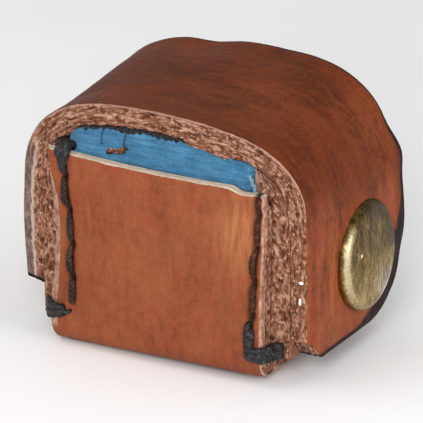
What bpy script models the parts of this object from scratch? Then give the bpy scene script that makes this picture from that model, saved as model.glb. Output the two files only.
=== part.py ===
"""Hand-sewn leather finger thimble with a riveted brass needle pusher.

+X points to the pusher side, +Y to the finger opening and +Z up. The origin is the
middle of the object's footprint, on the plane that the sole rests on.
"""
import math

import bmesh
import bpy
from mathutils import Matrix, Vector

MM = 0.001

# Outer band: one strip over both sides and the crown
BAND_WIDTH = 29.0 * MM
BAND_HEIGHT = 23.6 * MM
BAND_DEPTH = 17.7 * MM
BAND_THICK = 2.0 * MM
LEFT_FOOT = 4.8 * MM             # underside of the short left leg
RIGHT_FOOT = 1.9 * MM            # underside of the tab that carries the pusher
TAB_CORNER = 7.0 * MM            # radius of the tab's back corner
TAB_CLIP_DEPTH = 2.5 * MM        # the tab's clipped front corner, along the depth
TAB_CLIP_RISE = 1.8 * MM

# The arch that the band follows, as two cubic curves that meet at the crown
CROWN_X = 0.5 * MM               # the crown's highest point, from the band's middle
LEFT_SPRING = 16.3 * MM          # height where the left leg starts to bend in
LEFT_HANDLES = (3.5 * MM, 13.0 * MM)
RIGHT_SPRING = 11.3 * MM
RIGHT_HANDLES = (12.0 * MM, 8.0 * MM)
ARCH_STEPS = 11

# Inner side walls and the toe piece, which is the front panel and the sole in one
WALL_THICK = 2.2 * MM
WALL_DEPTH = 16.8 * MM
WALL_CORNER = 3.0 * MM           # radius of each wall's back corner at the sole
TOE_WIDTH = 21.8 * MM
TOE_THICK = 2.0 * MM
TOE_HEIGHT = 18.6 * MM
TOE_BEND = 2.5 * MM              # outer radius of the bend between panel and sole
SOLE_END = 15.6 * MM             # back end of the sole, behind the band's front edge

# Felt liner
FELT = 0.9 * MM
LINER_CORNER = 3.0 * MM
TIP_HALF_WIDTH = 9.35 * MM
LINER_START = 1.3 * MM           # front end of the wrap, behind the band's front edge
LINER_BACK = 1.0 * MM            # back end of the wrap, in front of the band's back edge

# Thread: one size for the seams and for the bar tacks
THREAD_RADIUS = 0.35 * MM
STITCH_INSET = 1.05 * MM         # stitch line, from the toe piece's side edge
STITCH_PITCH = 3.2 * MM
STITCH_COUNT = 4                 # holes in each seam
LEG_SPACING = 0.8 * MM           # between the two legs of thread in one hole
FRONT_SEAM_LOW = 6.4 * MM        # height of the lowest hole in the panel
SOLE_SEAM_FRONT = 2.8 * MM       # first hole in the sole, behind the band's front edge
ANCHOR_DEPTH = 0.75 * MM         # from the panel's or the sole's inside to the wall hole
ANCHOR_REACH = 0.9 * MM          # how far the thread goes into the wall
FRONT_GROOVE = 0.4 * MM
SOLE_GROOVE = 0.8 * MM
TACK_HEIGHTS = (2.2 * MM, 3.0 * MM, 3.8 * MM)
TOP_TACK_HOLE = 17.5 * MM

# Brass rivet, on an axis along X
PUSHER_RADIUS = 5.0 * MM
PUSHER_PROUD = 1.0 * MM          # how far the cap stands out of the band
PUSHER_BACK = 10.4 * MM          # axis, behind the band's front edge
PUSHER_HEIGHT = 9.3 * MM
RIM = 0.3 * MM
DIMPLE_RADIUS = 0.7 * MM
DIMPLE_DEPTH = 0.3 * MM
DIMPLE_FORWARD = 1.7 * MM        # from the cap's middle towards the panel
SOCKET_RADIUS = 1.8 * MM
SOCKET_BORE = 1.25 * MM
SOCKET_LENGTH = 3.0 * MM
PIN_RADIUS = 1.15 * MM
PIN_TIP = 0.4 * MM
FLANGE_RADIUS = 2.6 * MM
WASHER_RADIUS = 3.4 * MM
WASHER_BORE = 1.3 * MM
BRASS_SHEET = 0.45 * MM
POCKET_RADIUS = 3.6 * MM
POCKET_DEPTH = 1.2 * MM

GAP = 0.1 * MM                   # between pieces that touch
FINE_GAP = 0.05 * MM             # between brass and leather
OVERSHOOT = 1.0 * MM             # how far a cutter runs past what it cuts
WELD = 0.001 * MM
ROUND_STEPS = 32

# Places that follow from the sizes above
MIDDLE_X = -PUSHER_PROUD / 2
FRONT_GAP = TOE_THICK + GAP
DEPTH = THREAD_RADIUS + FRONT_GAP + BAND_DEPTH
PANEL_FACE = THREAD_RADIUS - DEPTH / 2
BAND_FRONT = PANEL_FACE + FRONT_GAP
BAND_BACK = BAND_FRONT + BAND_DEPTH
WALL_OUTSIDE = BAND_WIDTH / 2 - BAND_THICK - GAP
WALL_INSIDE = WALL_OUTSIDE - WALL_THICK
WALL_FOOT = TOE_THICK + GAP
STITCH_X = TOE_WIDTH / 2 - STITCH_INSET
UNDER_CROWN = BAND_THICK + GAP


def arc(centre_x, centre_y, radius, start, stop, steps=8):
    """Points on a circle from start to stop, in degrees."""
    angles = [math.radians(start + (stop - start) * i / steps) for i in range(steps + 1)]
    return [(centre_x + radius * math.cos(a), centre_y + radius * math.sin(a)) for a in angles]


def cubic(a, b, c, d, steps):
    """Points on a cubic Bezier curve."""
    points = []
    for i in range(steps + 1):
        t = i / steps
        u = 1 - t
        weights = (u ** 3, 3 * u * u * t, 3 * u * t * t, t ** 3)
        points.append(tuple(sum(w * p[k] for w, p in zip(weights, (a, b, c, d))) for k in (0, 1)))
    return points


def inset_line(points, distance):
    """Move an open line to its right-hand side by distance."""
    moved = []
    for i, (x, y) in enumerate(points):
        before, after = points[max(i - 1, 0)], points[min(i + 1, len(points) - 1)]
        dx, dy = after[0] - before[0], after[1] - before[1]
        length = math.hypot(dx, dy)
        moved.append((x + distance * dy / length, y - distance * dx / length))
    return moved


def arch(inset):
    """The arch as (x, z) points, left foot to right foot, moved inwards by inset."""
    half = BAND_WIDTH / 2
    crown = (CROWN_X, BAND_HEIGHT)
    left = cubic((-half, LEFT_SPRING), (-half, LEFT_SPRING + LEFT_HANDLES[0]),
                 (CROWN_X - LEFT_HANDLES[1], BAND_HEIGHT), crown, ARCH_STEPS)
    right = cubic(crown, (CROWN_X + RIGHT_HANDLES[0], BAND_HEIGHT),
                  (half, RIGHT_SPRING + RIGHT_HANDLES[1]), (half, RIGHT_SPRING), ARCH_STEPS)
    line = [(-half, LEFT_FOOT)] + left + right[1:] + [(half, RIGHT_FOOT)]
    return inset_line(line, inset)


def under_arch(half_width, inset=UNDER_CROWN):
    """The part of the inset arch between two upright planes, left to right."""
    line = arch(inset)
    points = []
    for (x0, z0), (x1, z1) in zip(line, line[1:]):
        for edge in (-half_width, half_width):
            if x0 < edge < x1:
                points.append((edge, z0 + (z1 - z0) * (edge - x0) / (x1 - x0)))
        if -half_width < x1 < half_width:
            points.append((x1, z1))
    return sorted(points)


def collection(name):
    group = bpy.data.collections.new(name)
    bpy.context.scene.collection.children.link(group)
    return group


def material(name, colour, roughness, metallic=0.0):
    made = bpy.data.materials.new(name)
    made.use_nodes = True
    shader = made.node_tree.nodes["Principled BSDF"]
    shader.inputs["Base Color"].default_value = (*colour, 1.0)
    shader.inputs["Roughness"].default_value = roughness
    shader.inputs["Metallic"].default_value = metallic
    made.diffuse_color = (*colour, 1.0)
    return made


def add(name, data, finish):
    """Make a mesh or curve a cutter when finish is None, or else a piece."""
    made = bpy.data.objects.new(name, data)
    if finish is None:
        cutters.objects.link(made)
        made.hide_render = True
        made.display_type = 'WIRE'
    else:
        pieces.objects.link(made)
        data.materials.append(finish)
    return made


def prism(name, outlines, plane, low, high, finish=None):
    """Extrude flat outlines in XZ along Y, or outlines in YZ along X."""
    curve = bpy.data.curves.new(name + "_outline", 'CURVE')
    curve.dimensions = '2D'
    curve.fill_mode = 'BOTH'
    curve.extrude = (high - low) / 2
    for outline in outlines:
        spline = curve.splines.new('POLY')
        spline.points.add(len(outline) - 1)
        spline.use_cyclic_u = True
        for point, (x, y) in zip(spline.points, outline):
            point.co = (x, y, 0.0, 1.0)
    drawn = bpy.data.objects.new(name + "_outline", curve)
    pieces.objects.link(drawn)
    middle = (low + high) / 2
    if plane == "XZ":
        drawn.location = (MIDDLE_X, middle, 0.0)
        drawn.rotation_euler = (math.radians(90), 0.0, 0.0)
    else:
        drawn.location = (MIDDLE_X + middle, 0.0, 0.0)
        drawn.rotation_euler = (math.radians(90), 0.0, math.radians(90))
    bpy.context.view_layer.update()

    depsgraph = bpy.context.evaluated_depsgraph_get()
    mesh = bpy.data.meshes.new_from_object(drawn.evaluated_get(depsgraph))
    shape = bmesh.new()
    shape.from_mesh(mesh)
    bmesh.ops.remove_doubles(shape, verts=shape.verts, dist=WELD)
    bmesh.ops.recalc_face_normals(shape, faces=shape.faces)
    shape.to_mesh(mesh)
    shape.free()
    made = add(name, mesh, finish)
    made.matrix_world = drawn.matrix_world
    bpy.data.objects.remove(drawn)
    bpy.data.curves.remove(curve)
    return made


def boxes(name, limits):
    """One cutter of separate boxes, each given as its x, y and z ranges.

    x counts from the band's middle.
    """
    shape = bmesh.new()
    for ranges in limits:
        middle = Vector([sum(pair) / 2 for pair in ranges])
        size = [abs(pair[1] - pair[0]) for pair in ranges]
        bmesh.ops.create_cube(shape, size=1.0, matrix=Matrix.LocRotScale(middle, None, size))
    mesh = bpy.data.meshes.new(name)
    shape.to_mesh(mesh)
    shape.free()
    made = add(name, mesh, None)
    made.location.x = MIDDLE_X
    return made


def drill(name, radius, start, stop):
    """A round cutter on the rivet's axis; distances count from the band's outer face."""
    bpy.ops.mesh.primitive_cylinder_add(vertices=ROUND_STEPS, radius=radius, depth=stop - start)
    made = bpy.context.object
    made.name = name
    for group in list(made.users_collection):
        group.objects.unlink(made)
    cutters.objects.link(made)
    made.hide_render = True
    made.display_type = 'WIRE'
    made.location = (MIDDLE_X + BAND_WIDTH / 2 + (start + stop) / 2,
                     BAND_FRONT + PUSHER_BACK, PUSHER_HEIGHT)
    made.rotation_euler = (0.0, math.radians(90), 0.0)
    return made


def cut(piece, *tools):
    for tool in tools:
        boolean = piece.modifiers.new("cut_" + tool.name, 'BOOLEAN')
        boolean.operation = 'DIFFERENCE'
        boolean.solver = 'EXACT'
        boolean.object = tool


def turned(name, profile, closed, finish):
    """Turn a profile of (radius, distance from the band's outer face) about the rivet's axis."""
    mesh = bpy.data.meshes.new(name)
    points = [(radius, 0.0, distance) for radius, distance in profile]
    edges = [(i, i + 1) for i in range(len(points) - 1)]
    if closed:
        edges.append((len(points) - 1, 0))
    mesh.from_pydata(points, edges, [])
    made = add(name, mesh, finish)
    made.location = (MIDDLE_X + BAND_WIDTH / 2, BAND_FRONT + PUSHER_BACK, PUSHER_HEIGHT)
    made.rotation_euler = (0.0, math.radians(90), 0.0)
    screw = made.modifiers.new("turn", 'SCREW')
    screw.steps = ROUND_STEPS
    screw.render_steps = ROUND_STEPS
    screw.use_merge_vertices = True
    screw.merge_threshold = WELD
    screw.use_smooth_shade = True
    return made


def thread(name, points):
    """A closed tube of waxed thread through the points; x counts from the band's middle."""
    curve = bpy.data.curves.new(name, 'CURVE')
    curve.dimensions = '3D'
    curve.bevel_depth = THREAD_RADIUS
    curve.bevel_resolution = 2
    curve.use_fill_caps = True
    spline = curve.splines.new('POLY')
    spline.points.add(len(points) - 1)
    for point, (x, y, z) in zip(spline.points, points):
        point.co = (MIDDLE_X + x, y, z, 1.0)
    return add(name, curve, waxed_thread)


def around(centre, reach):
    return (centre - reach, centre + reach)


def make_outer_band():
    band = prism("outer_band", [arch(0.0) + arch(BAND_THICK)[::-1]], "XZ",
                 BAND_FRONT, BAND_BACK, band_leather)
    outside = BAND_WIDTH / 2 + OVERSHOOT
    inside = WALL_OUTSIDE - OVERSHOOT
    below = -OVERSHOOT
    tab_edge = [(BAND_FRONT - OVERSHOOT, below),
                (BAND_FRONT - OVERSHOOT, RIGHT_FOOT + TAB_CLIP_RISE),
                (BAND_FRONT, RIGHT_FOOT + TAB_CLIP_RISE),
                (BAND_FRONT + TAB_CLIP_DEPTH, RIGHT_FOOT)]
    tab_edge += arc(BAND_BACK - TAB_CORNER, RIGHT_FOOT + TAB_CORNER, TAB_CORNER, -90, 0)
    tab_edge += [(BAND_BACK + OVERSHOOT, RIGHT_FOOT + TAB_CORNER),
                 (BAND_BACK + OVERSHOOT, below)]
    left_edge = arc(BAND_BACK - TAB_CORNER, LEFT_FOOT + TAB_CORNER, TAB_CORNER, -90, 0)
    left_edge += [(BAND_BACK + OVERSHOOT, LEFT_FOOT + TAB_CORNER),
                  (BAND_BACK + OVERSHOOT, below), (BAND_BACK - TAB_CORNER, below)]
    cut(band,
        prism("tab_trim", [tab_edge], "YZ", inside, outside),
        prism("left_leg_trim", [left_edge], "YZ", -outside, -inside),
        drill("band_rivet_hole", SOCKET_RADIUS + GAP, -BAND_THICK - GAP, OVERSHOOT))


def make_toe_piece():
    back = BAND_FRONT + SOLE_END
    outline = [(PANEL_FACE, TOE_HEIGHT)]
    outline += arc(PANEL_FACE + TOE_BEND, TOE_BEND, TOE_BEND, 180, 270)
    outline += [(back, 0.0), (back, TOE_THICK)]
    outline += arc(PANEL_FACE + TOE_BEND, TOE_BEND, TOE_BEND - TOE_THICK, 270, 180, 4)
    outline += [(PANEL_FACE + TOE_THICK, TOE_HEIGHT)]
    toe = prism("toe_piece", [outline], "YZ", -TOE_WIDTH / 2, TOE_WIDTH / 2, toe_leather)

    reach = THREAD_RADIUS + GAP
    half = LEG_SPACING / 2 + reach
    through_panel = (PANEL_FACE - OVERSHOOT, BAND_FRONT)
    through_sole = (-OVERSHOOT, WALL_FOOT)
    tack_notches, grooves, slots = [], [], []
    for side in (-1, 1):
        line = around(side * STITCH_X, reach)
        to_edge = (side * (STITCH_X - reach), side * (TOE_WIDTH / 2 + OVERSHOOT))
        tack_span = (TACK_HEIGHTS[0] - reach, TACK_HEIGHTS[-1] + reach)
        groove_depth = (PANEL_FACE - OVERSHOOT, PANEL_FACE + FRONT_GROOVE)
        grooves.append((line, groove_depth, (tack_span[1] - reach, TOE_HEIGHT + OVERSHOOT)))
        tack_notches.append((to_edge, groove_depth, tack_span))
        grooves.append((line, (SOLE_HOLES[0] - half, SOLE_HOLES[-1] + half),
                        (-OVERSHOOT, SOLE_GROOVE)))
        slots += [(line, through_panel, around(hole, half)) for hole in FRONT_HOLES]
        slots += [(line, around(hole, half), through_sole) for hole in SOLE_HOLES]
        slots.append((line, through_panel, around(TOP_TACK_HOLE, reach)))
        slots.append((line, through_panel, tack_span))
    cut(toe, boxes("tack_notches", tack_notches), boxes("stitch_grooves", grooves),
        boxes("toe_slots", slots))


def make_side_wall(name, side):
    outline = [point for point in arch(UNDER_CROWN) if side * point[0] > WALL_INSIDE]
    inside_top = under_arch(WALL_INSIDE)[0 if side < 0 else -1]
    outline = [(side * WALL_OUTSIDE, WALL_FOOT)] + (outline[1:] if side < 0 else outline[-2::-1])
    outline += [inside_top, (side * WALL_INSIDE, WALL_FOOT)]
    wall = prism(name, [outline], "XZ", BAND_FRONT, BAND_FRONT + WALL_DEPTH, wall_leather)

    reach = THREAD_RADIUS + GAP
    half = LEG_SPACING / 2 + reach
    across = (side * (WALL_INSIDE - OVERSHOOT), side * (WALL_OUTSIDE + OVERSHOOT))
    slots = [(across, around(BAND_FRONT + ANCHOR_DEPTH, reach), around(hole, half))
             for hole in FRONT_HOLES]
    slots += [(across, around(hole, half), around(TOE_THICK + ANCHOR_DEPTH, reach))
              for hole in SOLE_HOLES]
    back = BAND_FRONT + WALL_DEPTH
    corner = arc(back - WALL_CORNER, WALL_FOOT + WALL_CORNER, WALL_CORNER, -90, 0)
    corner += [(back + OVERSHOOT, WALL_FOOT + WALL_CORNER), (back + OVERSHOOT, 0.0),
               (back - WALL_CORNER, 0.0)]
    sides = sorted(across)
    cut(wall, boxes(name + "_slots", slots), prism(name + "_trim", [corner], "YZ", *sides))
    if side > 0:
        inner_face = WALL_INSIDE - BAND_WIDTH / 2
        cut(wall,
            drill("wall_rivet_hole", SOCKET_RADIUS + GAP, inner_face - OVERSHOOT, OVERSHOOT),
            drill("wall_pocket", POCKET_RADIUS, inner_face - OVERSHOOT,
                  inner_face + POCKET_DEPTH))


def make_liner():
    half = WALL_INSIDE - GAP
    low = TOE_THICK + GAP
    outlines = []
    for depth in (0.0, FELT):
        corner = LINER_CORNER - depth
        outline = under_arch(half - depth, UNDER_CROWN + depth)
        outline += arc(half - LINER_CORNER, low + LINER_CORNER, corner, 0, -90, 5)
        outline += arc(LINER_CORNER - half, low + LINER_CORNER, corner, -90, -180, 5)
        outlines.append(outline)
    prism("liner_wrap", outlines, "XZ", BAND_FRONT + LINER_START, BAND_BACK - LINER_BACK, felt)

    tip = under_arch(TIP_HALF_WIDTH)
    tip += [(TIP_HALF_WIDTH, low + GAP), (-TIP_HALF_WIDTH, low + GAP)]
    prism("liner_tip", [tip], "XZ", BAND_FRONT + GAP, BAND_FRONT + GAP + FELT, felt)


def seam_route(side, holes, surface, inside, place):
    """Over the leather from hole to hole, and through it into the wall at each hole.

    place turns (distance along the seam, depth) into (y, z).
    """
    anchor = side * (WALL_INSIDE + ANCHOR_REACH)
    route = []
    for hole in holes:
        for along, inwards in ((hole - LEG_SPACING / 2, True), (hole + LEG_SPACING / 2, False)):
            leg = [(side * STITCH_X, *place(along, surface)),
                   (side * STITCH_X, *place(along, inside)),
                   (anchor, *place(along, inside))]
            route += leg if inwards else leg[::-1]
    return route


def make_threads(name, side):
    thread(name + "_front_seam",
           seam_route(side, FRONT_HOLES, PANEL_FACE, BAND_FRONT + ANCHOR_DEPTH,
                      lambda along, depth: (depth, along)))
    thread(name + "_sole_seam",
           seam_route(side, SOLE_HOLES, SOLE_GROOVE / 2, TOE_THICK + ANCHOR_DEPTH,
                      lambda along, depth: (along, depth)))

    edge = TOE_WIDTH / 2 + GAP + THREAD_RADIUS
    on_wall = BAND_FRONT - GAP - THREAD_RADIUS
    lower = []
    for i, height in enumerate(TACK_HEIGHTS):
        turn = [(side * STITCH_X, on_wall - LEG_SPACING, height),
                (side * STITCH_X, PANEL_FACE, height),
                (side * edge, PANEL_FACE, height),
                (side * edge, on_wall, height),
                (side * (WALL_OUTSIDE - THREAD_RADIUS), on_wall, height)]
        lower += turn[::-1] if i % 2 else turn
    thread(name + "_lower_tack", lower)

    over_edge = TOE_HEIGHT + GAP + THREAD_RADIUS
    upper = [(side * STITCH_X, on_wall - LEG_SPACING, TOP_TACK_HOLE),
             (side * STITCH_X, PANEL_FACE, TOP_TACK_HOLE),
             (side * STITCH_X, PANEL_FACE, over_edge),
             (side * STITCH_X, on_wall, over_edge),
             (side * (WALL_OUTSIDE - THREAD_RADIUS - GAP), on_wall, over_edge)]
    thread(name + "_upper_tack", upper)


def make_pusher():
    cap = cubic((0.0, PUSHER_PROUD), (PUSHER_RADIUS * 0.7, PUSHER_PROUD),
                (PUSHER_RADIUS * 0.95, PUSHER_PROUD * 0.85), (PUSHER_RADIUS - RIM / 3, RIM), 7)
    cap += [(PUSHER_RADIUS, RIM / 2), (PUSHER_RADIUS - RIM / 3, FINE_GAP),
            (SOCKET_RADIUS, FINE_GAP), (SOCKET_RADIUS, -SOCKET_LENGTH),
            (SOCKET_BORE, -SOCKET_LENGTH), (SOCKET_BORE, FINE_GAP), (0.0, FINE_GAP)]
    dimple = drill("needle_dimple", DIMPLE_RADIUS, PUSHER_PROUD - DIMPLE_DEPTH, OVERSHOOT * 2)
    dimple.location.y -= DIMPLE_FORWARD
    cut(turned("pusher_cap", cap, False, brass), dimple)

    pocket_floor = WALL_INSIDE - BAND_WIDTH / 2 + POCKET_DEPTH
    washer_face = pocket_floor - FINE_GAP
    washer_back = washer_face - BRASS_SHEET
    turned("rivet_washer",
           [(WASHER_RADIUS, washer_face), (WASHER_RADIUS, washer_back),
            (WASHER_BORE, washer_back), (WASHER_BORE, washer_face)], True, brass)
    flange_face = washer_back - FINE_GAP
    flange_back = flange_face - BRASS_SHEET
    turned("rivet_post",
           [(0.0, -PIN_TIP), (PIN_RADIUS, -PIN_TIP), (PIN_RADIUS, flange_face),
            (FLANGE_RADIUS, flange_face), (FLANGE_RADIUS, flange_back), (0.0, flange_back)],
           False, brass)


for old in list(bpy.data.objects):
    bpy.data.objects.remove(old)

FRONT_HOLES = [FRONT_SEAM_LOW + STITCH_PITCH * i for i in range(STITCH_COUNT)]
SOLE_HOLES = [BAND_FRONT + SOLE_SEAM_FRONT + STITCH_PITCH * i for i in range(STITCH_COUNT)]

pieces = collection("finger_thimble")
cutters = collection("cutters")
band_leather = material("band_leather", (0.17, 0.05, 0.025), 0.55)
wall_leather = material("wall_leather", (0.30, 0.15, 0.09), 0.75)
toe_leather = material("toe_leather", (0.34, 0.10, 0.045), 0.5)
felt = material("liner_felt", (0.07, 0.22, 0.37), 0.95)
waxed_thread = material("waxed_thread", (0.02, 0.02, 0.022), 0.45)
brass = material("brass", (0.45, 0.36, 0.17), 0.35, metallic=1.0)

make_outer_band()
make_toe_piece()
make_side_wall("left_side_wall", -1)
make_side_wall("right_side_wall", 1)
make_liner()
make_threads("left", -1)
make_threads("right", 1)
make_pusher()
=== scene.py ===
import math

import bmesh
import bpy
import numpy as np
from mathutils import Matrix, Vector


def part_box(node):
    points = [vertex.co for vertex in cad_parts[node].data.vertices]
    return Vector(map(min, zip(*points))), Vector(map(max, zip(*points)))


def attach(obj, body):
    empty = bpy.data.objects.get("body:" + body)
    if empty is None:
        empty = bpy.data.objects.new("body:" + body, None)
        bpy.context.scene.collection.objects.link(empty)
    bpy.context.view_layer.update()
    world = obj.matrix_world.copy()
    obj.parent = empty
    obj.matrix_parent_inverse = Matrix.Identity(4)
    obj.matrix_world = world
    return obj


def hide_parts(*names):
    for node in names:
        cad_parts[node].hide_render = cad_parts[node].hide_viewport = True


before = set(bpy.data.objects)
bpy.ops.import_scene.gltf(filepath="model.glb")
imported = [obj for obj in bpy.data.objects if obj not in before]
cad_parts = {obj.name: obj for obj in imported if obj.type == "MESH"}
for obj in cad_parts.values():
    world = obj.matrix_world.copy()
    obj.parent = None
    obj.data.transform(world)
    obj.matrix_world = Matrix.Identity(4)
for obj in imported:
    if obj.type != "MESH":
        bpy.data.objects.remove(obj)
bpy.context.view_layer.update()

# ---- Sizes, in millimetres. x counts from the band's middle, y from its front edge. ----
MM = 0.001


def node_box(name):
    """A CAD node's lowest and highest corners, in millimetres."""
    low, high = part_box(name)
    return np.array(low) / MM, np.array(high) / MM


BAND_LOW, BAND_HIGH = node_box("outer_band")
TOE_LOW, TOE_HIGH = node_box("toe_piece")
CAP_LOW, CAP_HIGH = node_box("pusher_cap")
WALL_LOW, WALL_HIGH = node_box("right_side_wall")
WRAP_LOW, WRAP_HIGH = node_box("liner_wrap")
ORIGIN = np.array([(BAND_LOW[0] + BAND_HIGH[0]) / 2, BAND_LOW[1], 0.0])

BAND_HALF = (BAND_HIGH[0] - BAND_LOW[0]) / 2
BAND_DEPTH = BAND_HIGH[1] - BAND_LOW[1]
BAND_THICK = 2.0
LEFT_FOOT = 4.8
RIGHT_FOOT = BAND_LOW[2]
FOOT_CORNER = 6.5
CROWN_LOW = 15.0                 # the crown is what lies above this height
CLIP_DEPTH = 2.6                 # the clipped front corner of the right tab
CLIP_RISE = 2.1

WALL_OUTSIDE = WALL_HIGH[0] - ORIGIN[0]
WALL_INSIDE = WALL_LOW[0] - ORIGIN[0]
WALL_DEPTH = WALL_HIGH[1] - WALL_LOW[1]
WALL_FOOT = WALL_LOW[2]
WALL_CORNER = 3.0
WALL_GAP = 0.05                  # between a wall and the band
WALL_TOPS = {-1: 18.2, 1: 19.2}  # by side, -1 for left and 1 for right
WELT = 1.25                      # how far the right wall's top swells in at the front

TOE_HALF = (TOE_HIGH[0] - TOE_LOW[0]) / 2
TOE_THICK = 2.0
TOE_TOP = TOE_HIGH[2]
TOE_BEND = 2.1
PANEL_Y = TOE_LOW[1] - ORIGIN[1]
SOLE_END = TOE_HIGH[1] - ORIGIN[1]
PANEL_BULGE = 0.45

FELT = 0.9
WRAP_CORNER = 3.0
WRAP_POINTS = 380                # around the felt wrap

THREAD = 0.33                    # radius of the waxed thread
STITCH_HOLES = (16.2, 13.0, 9.7, 6.5)
SOLE_STITCHES = 4
MELT_GRAIN = 0.055               # grain of the thread that is melted into lumps

PUSHER_Y = (CAP_LOW[1] + CAP_HIGH[1]) / 2 - ORIGIN[1]
PUSHER_Z = (CAP_LOW[2] + CAP_HIGH[2]) / 2
PUSHER_RADIUS = (CAP_HIGH[1] - CAP_LOW[1]) / 2
CAP_SHOULDER = 0.85
CAP_SHIFT = (-0.15, -0.20)       # the worn cap sits off the rivet's axis, along y and z
CAP_TILT = (0.052, 0.045)        # how far it leans in towards its top and its back
DIMPLE = (-2.0, 0.1)             # from the cap's middle, along y and z

VIEW_AZIMUTH = 29.5
VIEW_ELEVATION = 22.0
VIEW_TARGET = (-0.24, 0.0, 11.28)
VIEW_WIDTH = 38.1
VIEW_LENS = 600.0
LIGHT_TARGET = (0.0, 0.0, 10.0)
FLOOR_Z = -0.17


# ---- Repeatable noise, and small number helpers ----
def lattice(cell, seed):
    """A repeatable value from -1 to 1 for each whole-number cell."""
    mixed = cell[..., 0] * 374761393 + cell[..., 1] * 668265263 + cell[..., 2] * 974634777
    mixed = (mixed + seed * 1274126177) & 0xFFFFFFFF
    mixed = ((mixed ^ (mixed >> 13)) * 1274126177) & 0xFFFFFFFF
    mixed = mixed ^ (mixed >> 16)
    return mixed / 0x7FFFFFFF - 1.0


def noise(points, size, seed=0):
    """Smooth noise from -1 to 1 with features of the given size."""
    place = points / np.asarray(size, float)
    cell = np.floor(place).astype(np.int64)
    part = place - cell
    part = part * part * (3 - 2 * part)
    total = np.zeros(points.shape[:-1])
    for corner in np.ndindex(2, 2, 2):
        step = np.array(corner)
        weight = np.prod(np.where(step, part, 1 - part), axis=-1)
        total += weight * lattice(cell + step, seed)
    return total


def rough(points, size, octaves=3, seed=0):
    """Noise summed over halving sizes."""
    size = np.asarray(size, float)
    total = sum(noise(points, size / 2 ** k, seed + k) / 2 ** k for k in range(octaves))
    return total / (2 - 2 ** (1 - octaves))


def stack(*parts):
    """Broadcast the parts and stack them as the last axis."""
    return np.stack(np.broadcast_arrays(*parts), axis=-1)


def smooth(low, high, value):
    """0 below low, 1 above high, and a smooth step between them."""
    t = np.clip((value - low) / (high - low), 0, 1)
    return t * t * (3 - 2 * t)


def bell(value, width):
    """1 at 0, and falling away on both sides over the width."""
    return np.exp(-(value / width) ** 2)


def ease_in(length, count=5):
    """Positions from 0 to length that start close together."""
    return length * (1 - np.cos(np.linspace(0, math.pi / 2, count)))


def fine_ends(length, spacing, radius):
    """Positions from 0 to length, closer together within radius of each end."""
    ease = ease_in(radius)
    count = max(2, round((length - 2 * radius) / spacing))
    middle = np.linspace(radius, length - radius, count + 1)[1:-1]
    return np.concatenate([ease, middle, length - ease[::-1]])


def round_off(distance, radius):
    """How far a quarter round of this radius drops, at a distance in from its outline."""
    return radius - np.sqrt(radius ** 2 - (radius - np.clip(distance, 0, radius)) ** 2)


def look_up(value, keys, values):
    """The values at value, for keys in any order."""
    order = np.argsort(keys)
    return np.interp(value, keys[order], values[order])


def even_points(line, count=0, spacing=1.0, endpoint=True):
    """Evenly spaced points on a line, how far along each is, and the line's length."""
    steps = np.linalg.norm(np.diff(line, axis=0), axis=1)
    along = np.concatenate([[0], np.cumsum(steps)])
    count = count or max(4, int(along[-1] / spacing))
    even = np.linspace(0, along[-1], count, endpoint=endpoint)
    return np.stack([np.interp(even, along, column) for column in line.T], -1), even, along[-1]


# ---- Meshes ----
def grid_faces(rows, columns, base=0, ring_of_rows=False, ring_of_columns=False):
    """Four-sided faces between the points of a grid, which may close on itself."""
    faces = []
    for i in range(rows - (not ring_of_rows)):
        a, b = base + i * columns, base + (i + 1) % rows * columns
        for j in range(columns - (not ring_of_columns)):
            n = (j + 1) % columns
            faces.append((a + j, b + j, b + n, a + n))
    return faces


def make_mesh(name, points, faces, marks=None, merge=0.0):
    """A smooth-shaded object from points in millimetres, with its marks as attributes.

    Points within merge of each other become one.
    """
    mesh = bpy.data.meshes.new(name)
    mesh.from_pydata(((points + ORIGIN) * MM).tolist(), [], faces)
    for key, values in (marks or {}).items():
        kind, field = ('FLOAT_VECTOR', "vector") if values.ndim == 2 else ('FLOAT', "value")
        layer = mesh.attributes.new(key, kind, 'POINT')
        layer.data.foreach_set(field, values.astype(np.float32).ravel())
    shape = bmesh.new()
    shape.from_mesh(mesh)
    if merge:
        bmesh.ops.remove_doubles(shape, verts=shape.verts, dist=merge * MM)
    bmesh.ops.recalc_face_normals(shape, faces=shape.faces)
    if shape.calc_volume(signed=True) < 0:
        bmesh.ops.reverse_faces(shape, faces=shape.faces)
    shape.to_mesh(mesh)
    shape.free()
    mesh.shade_smooth()
    made = bpy.data.objects.new(name, mesh)
    bpy.context.scene.collection.objects.link(made)
    return made


def finish_piece(piece, material, slot, *replaced):
    """Give a piece its material and body, and hide the CAD nodes that it stands for."""
    piece.data.materials.clear()
    piece.data.materials.append(material)
    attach(piece, "root")
    if replaced:
        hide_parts(*replaced)
    return piece


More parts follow.
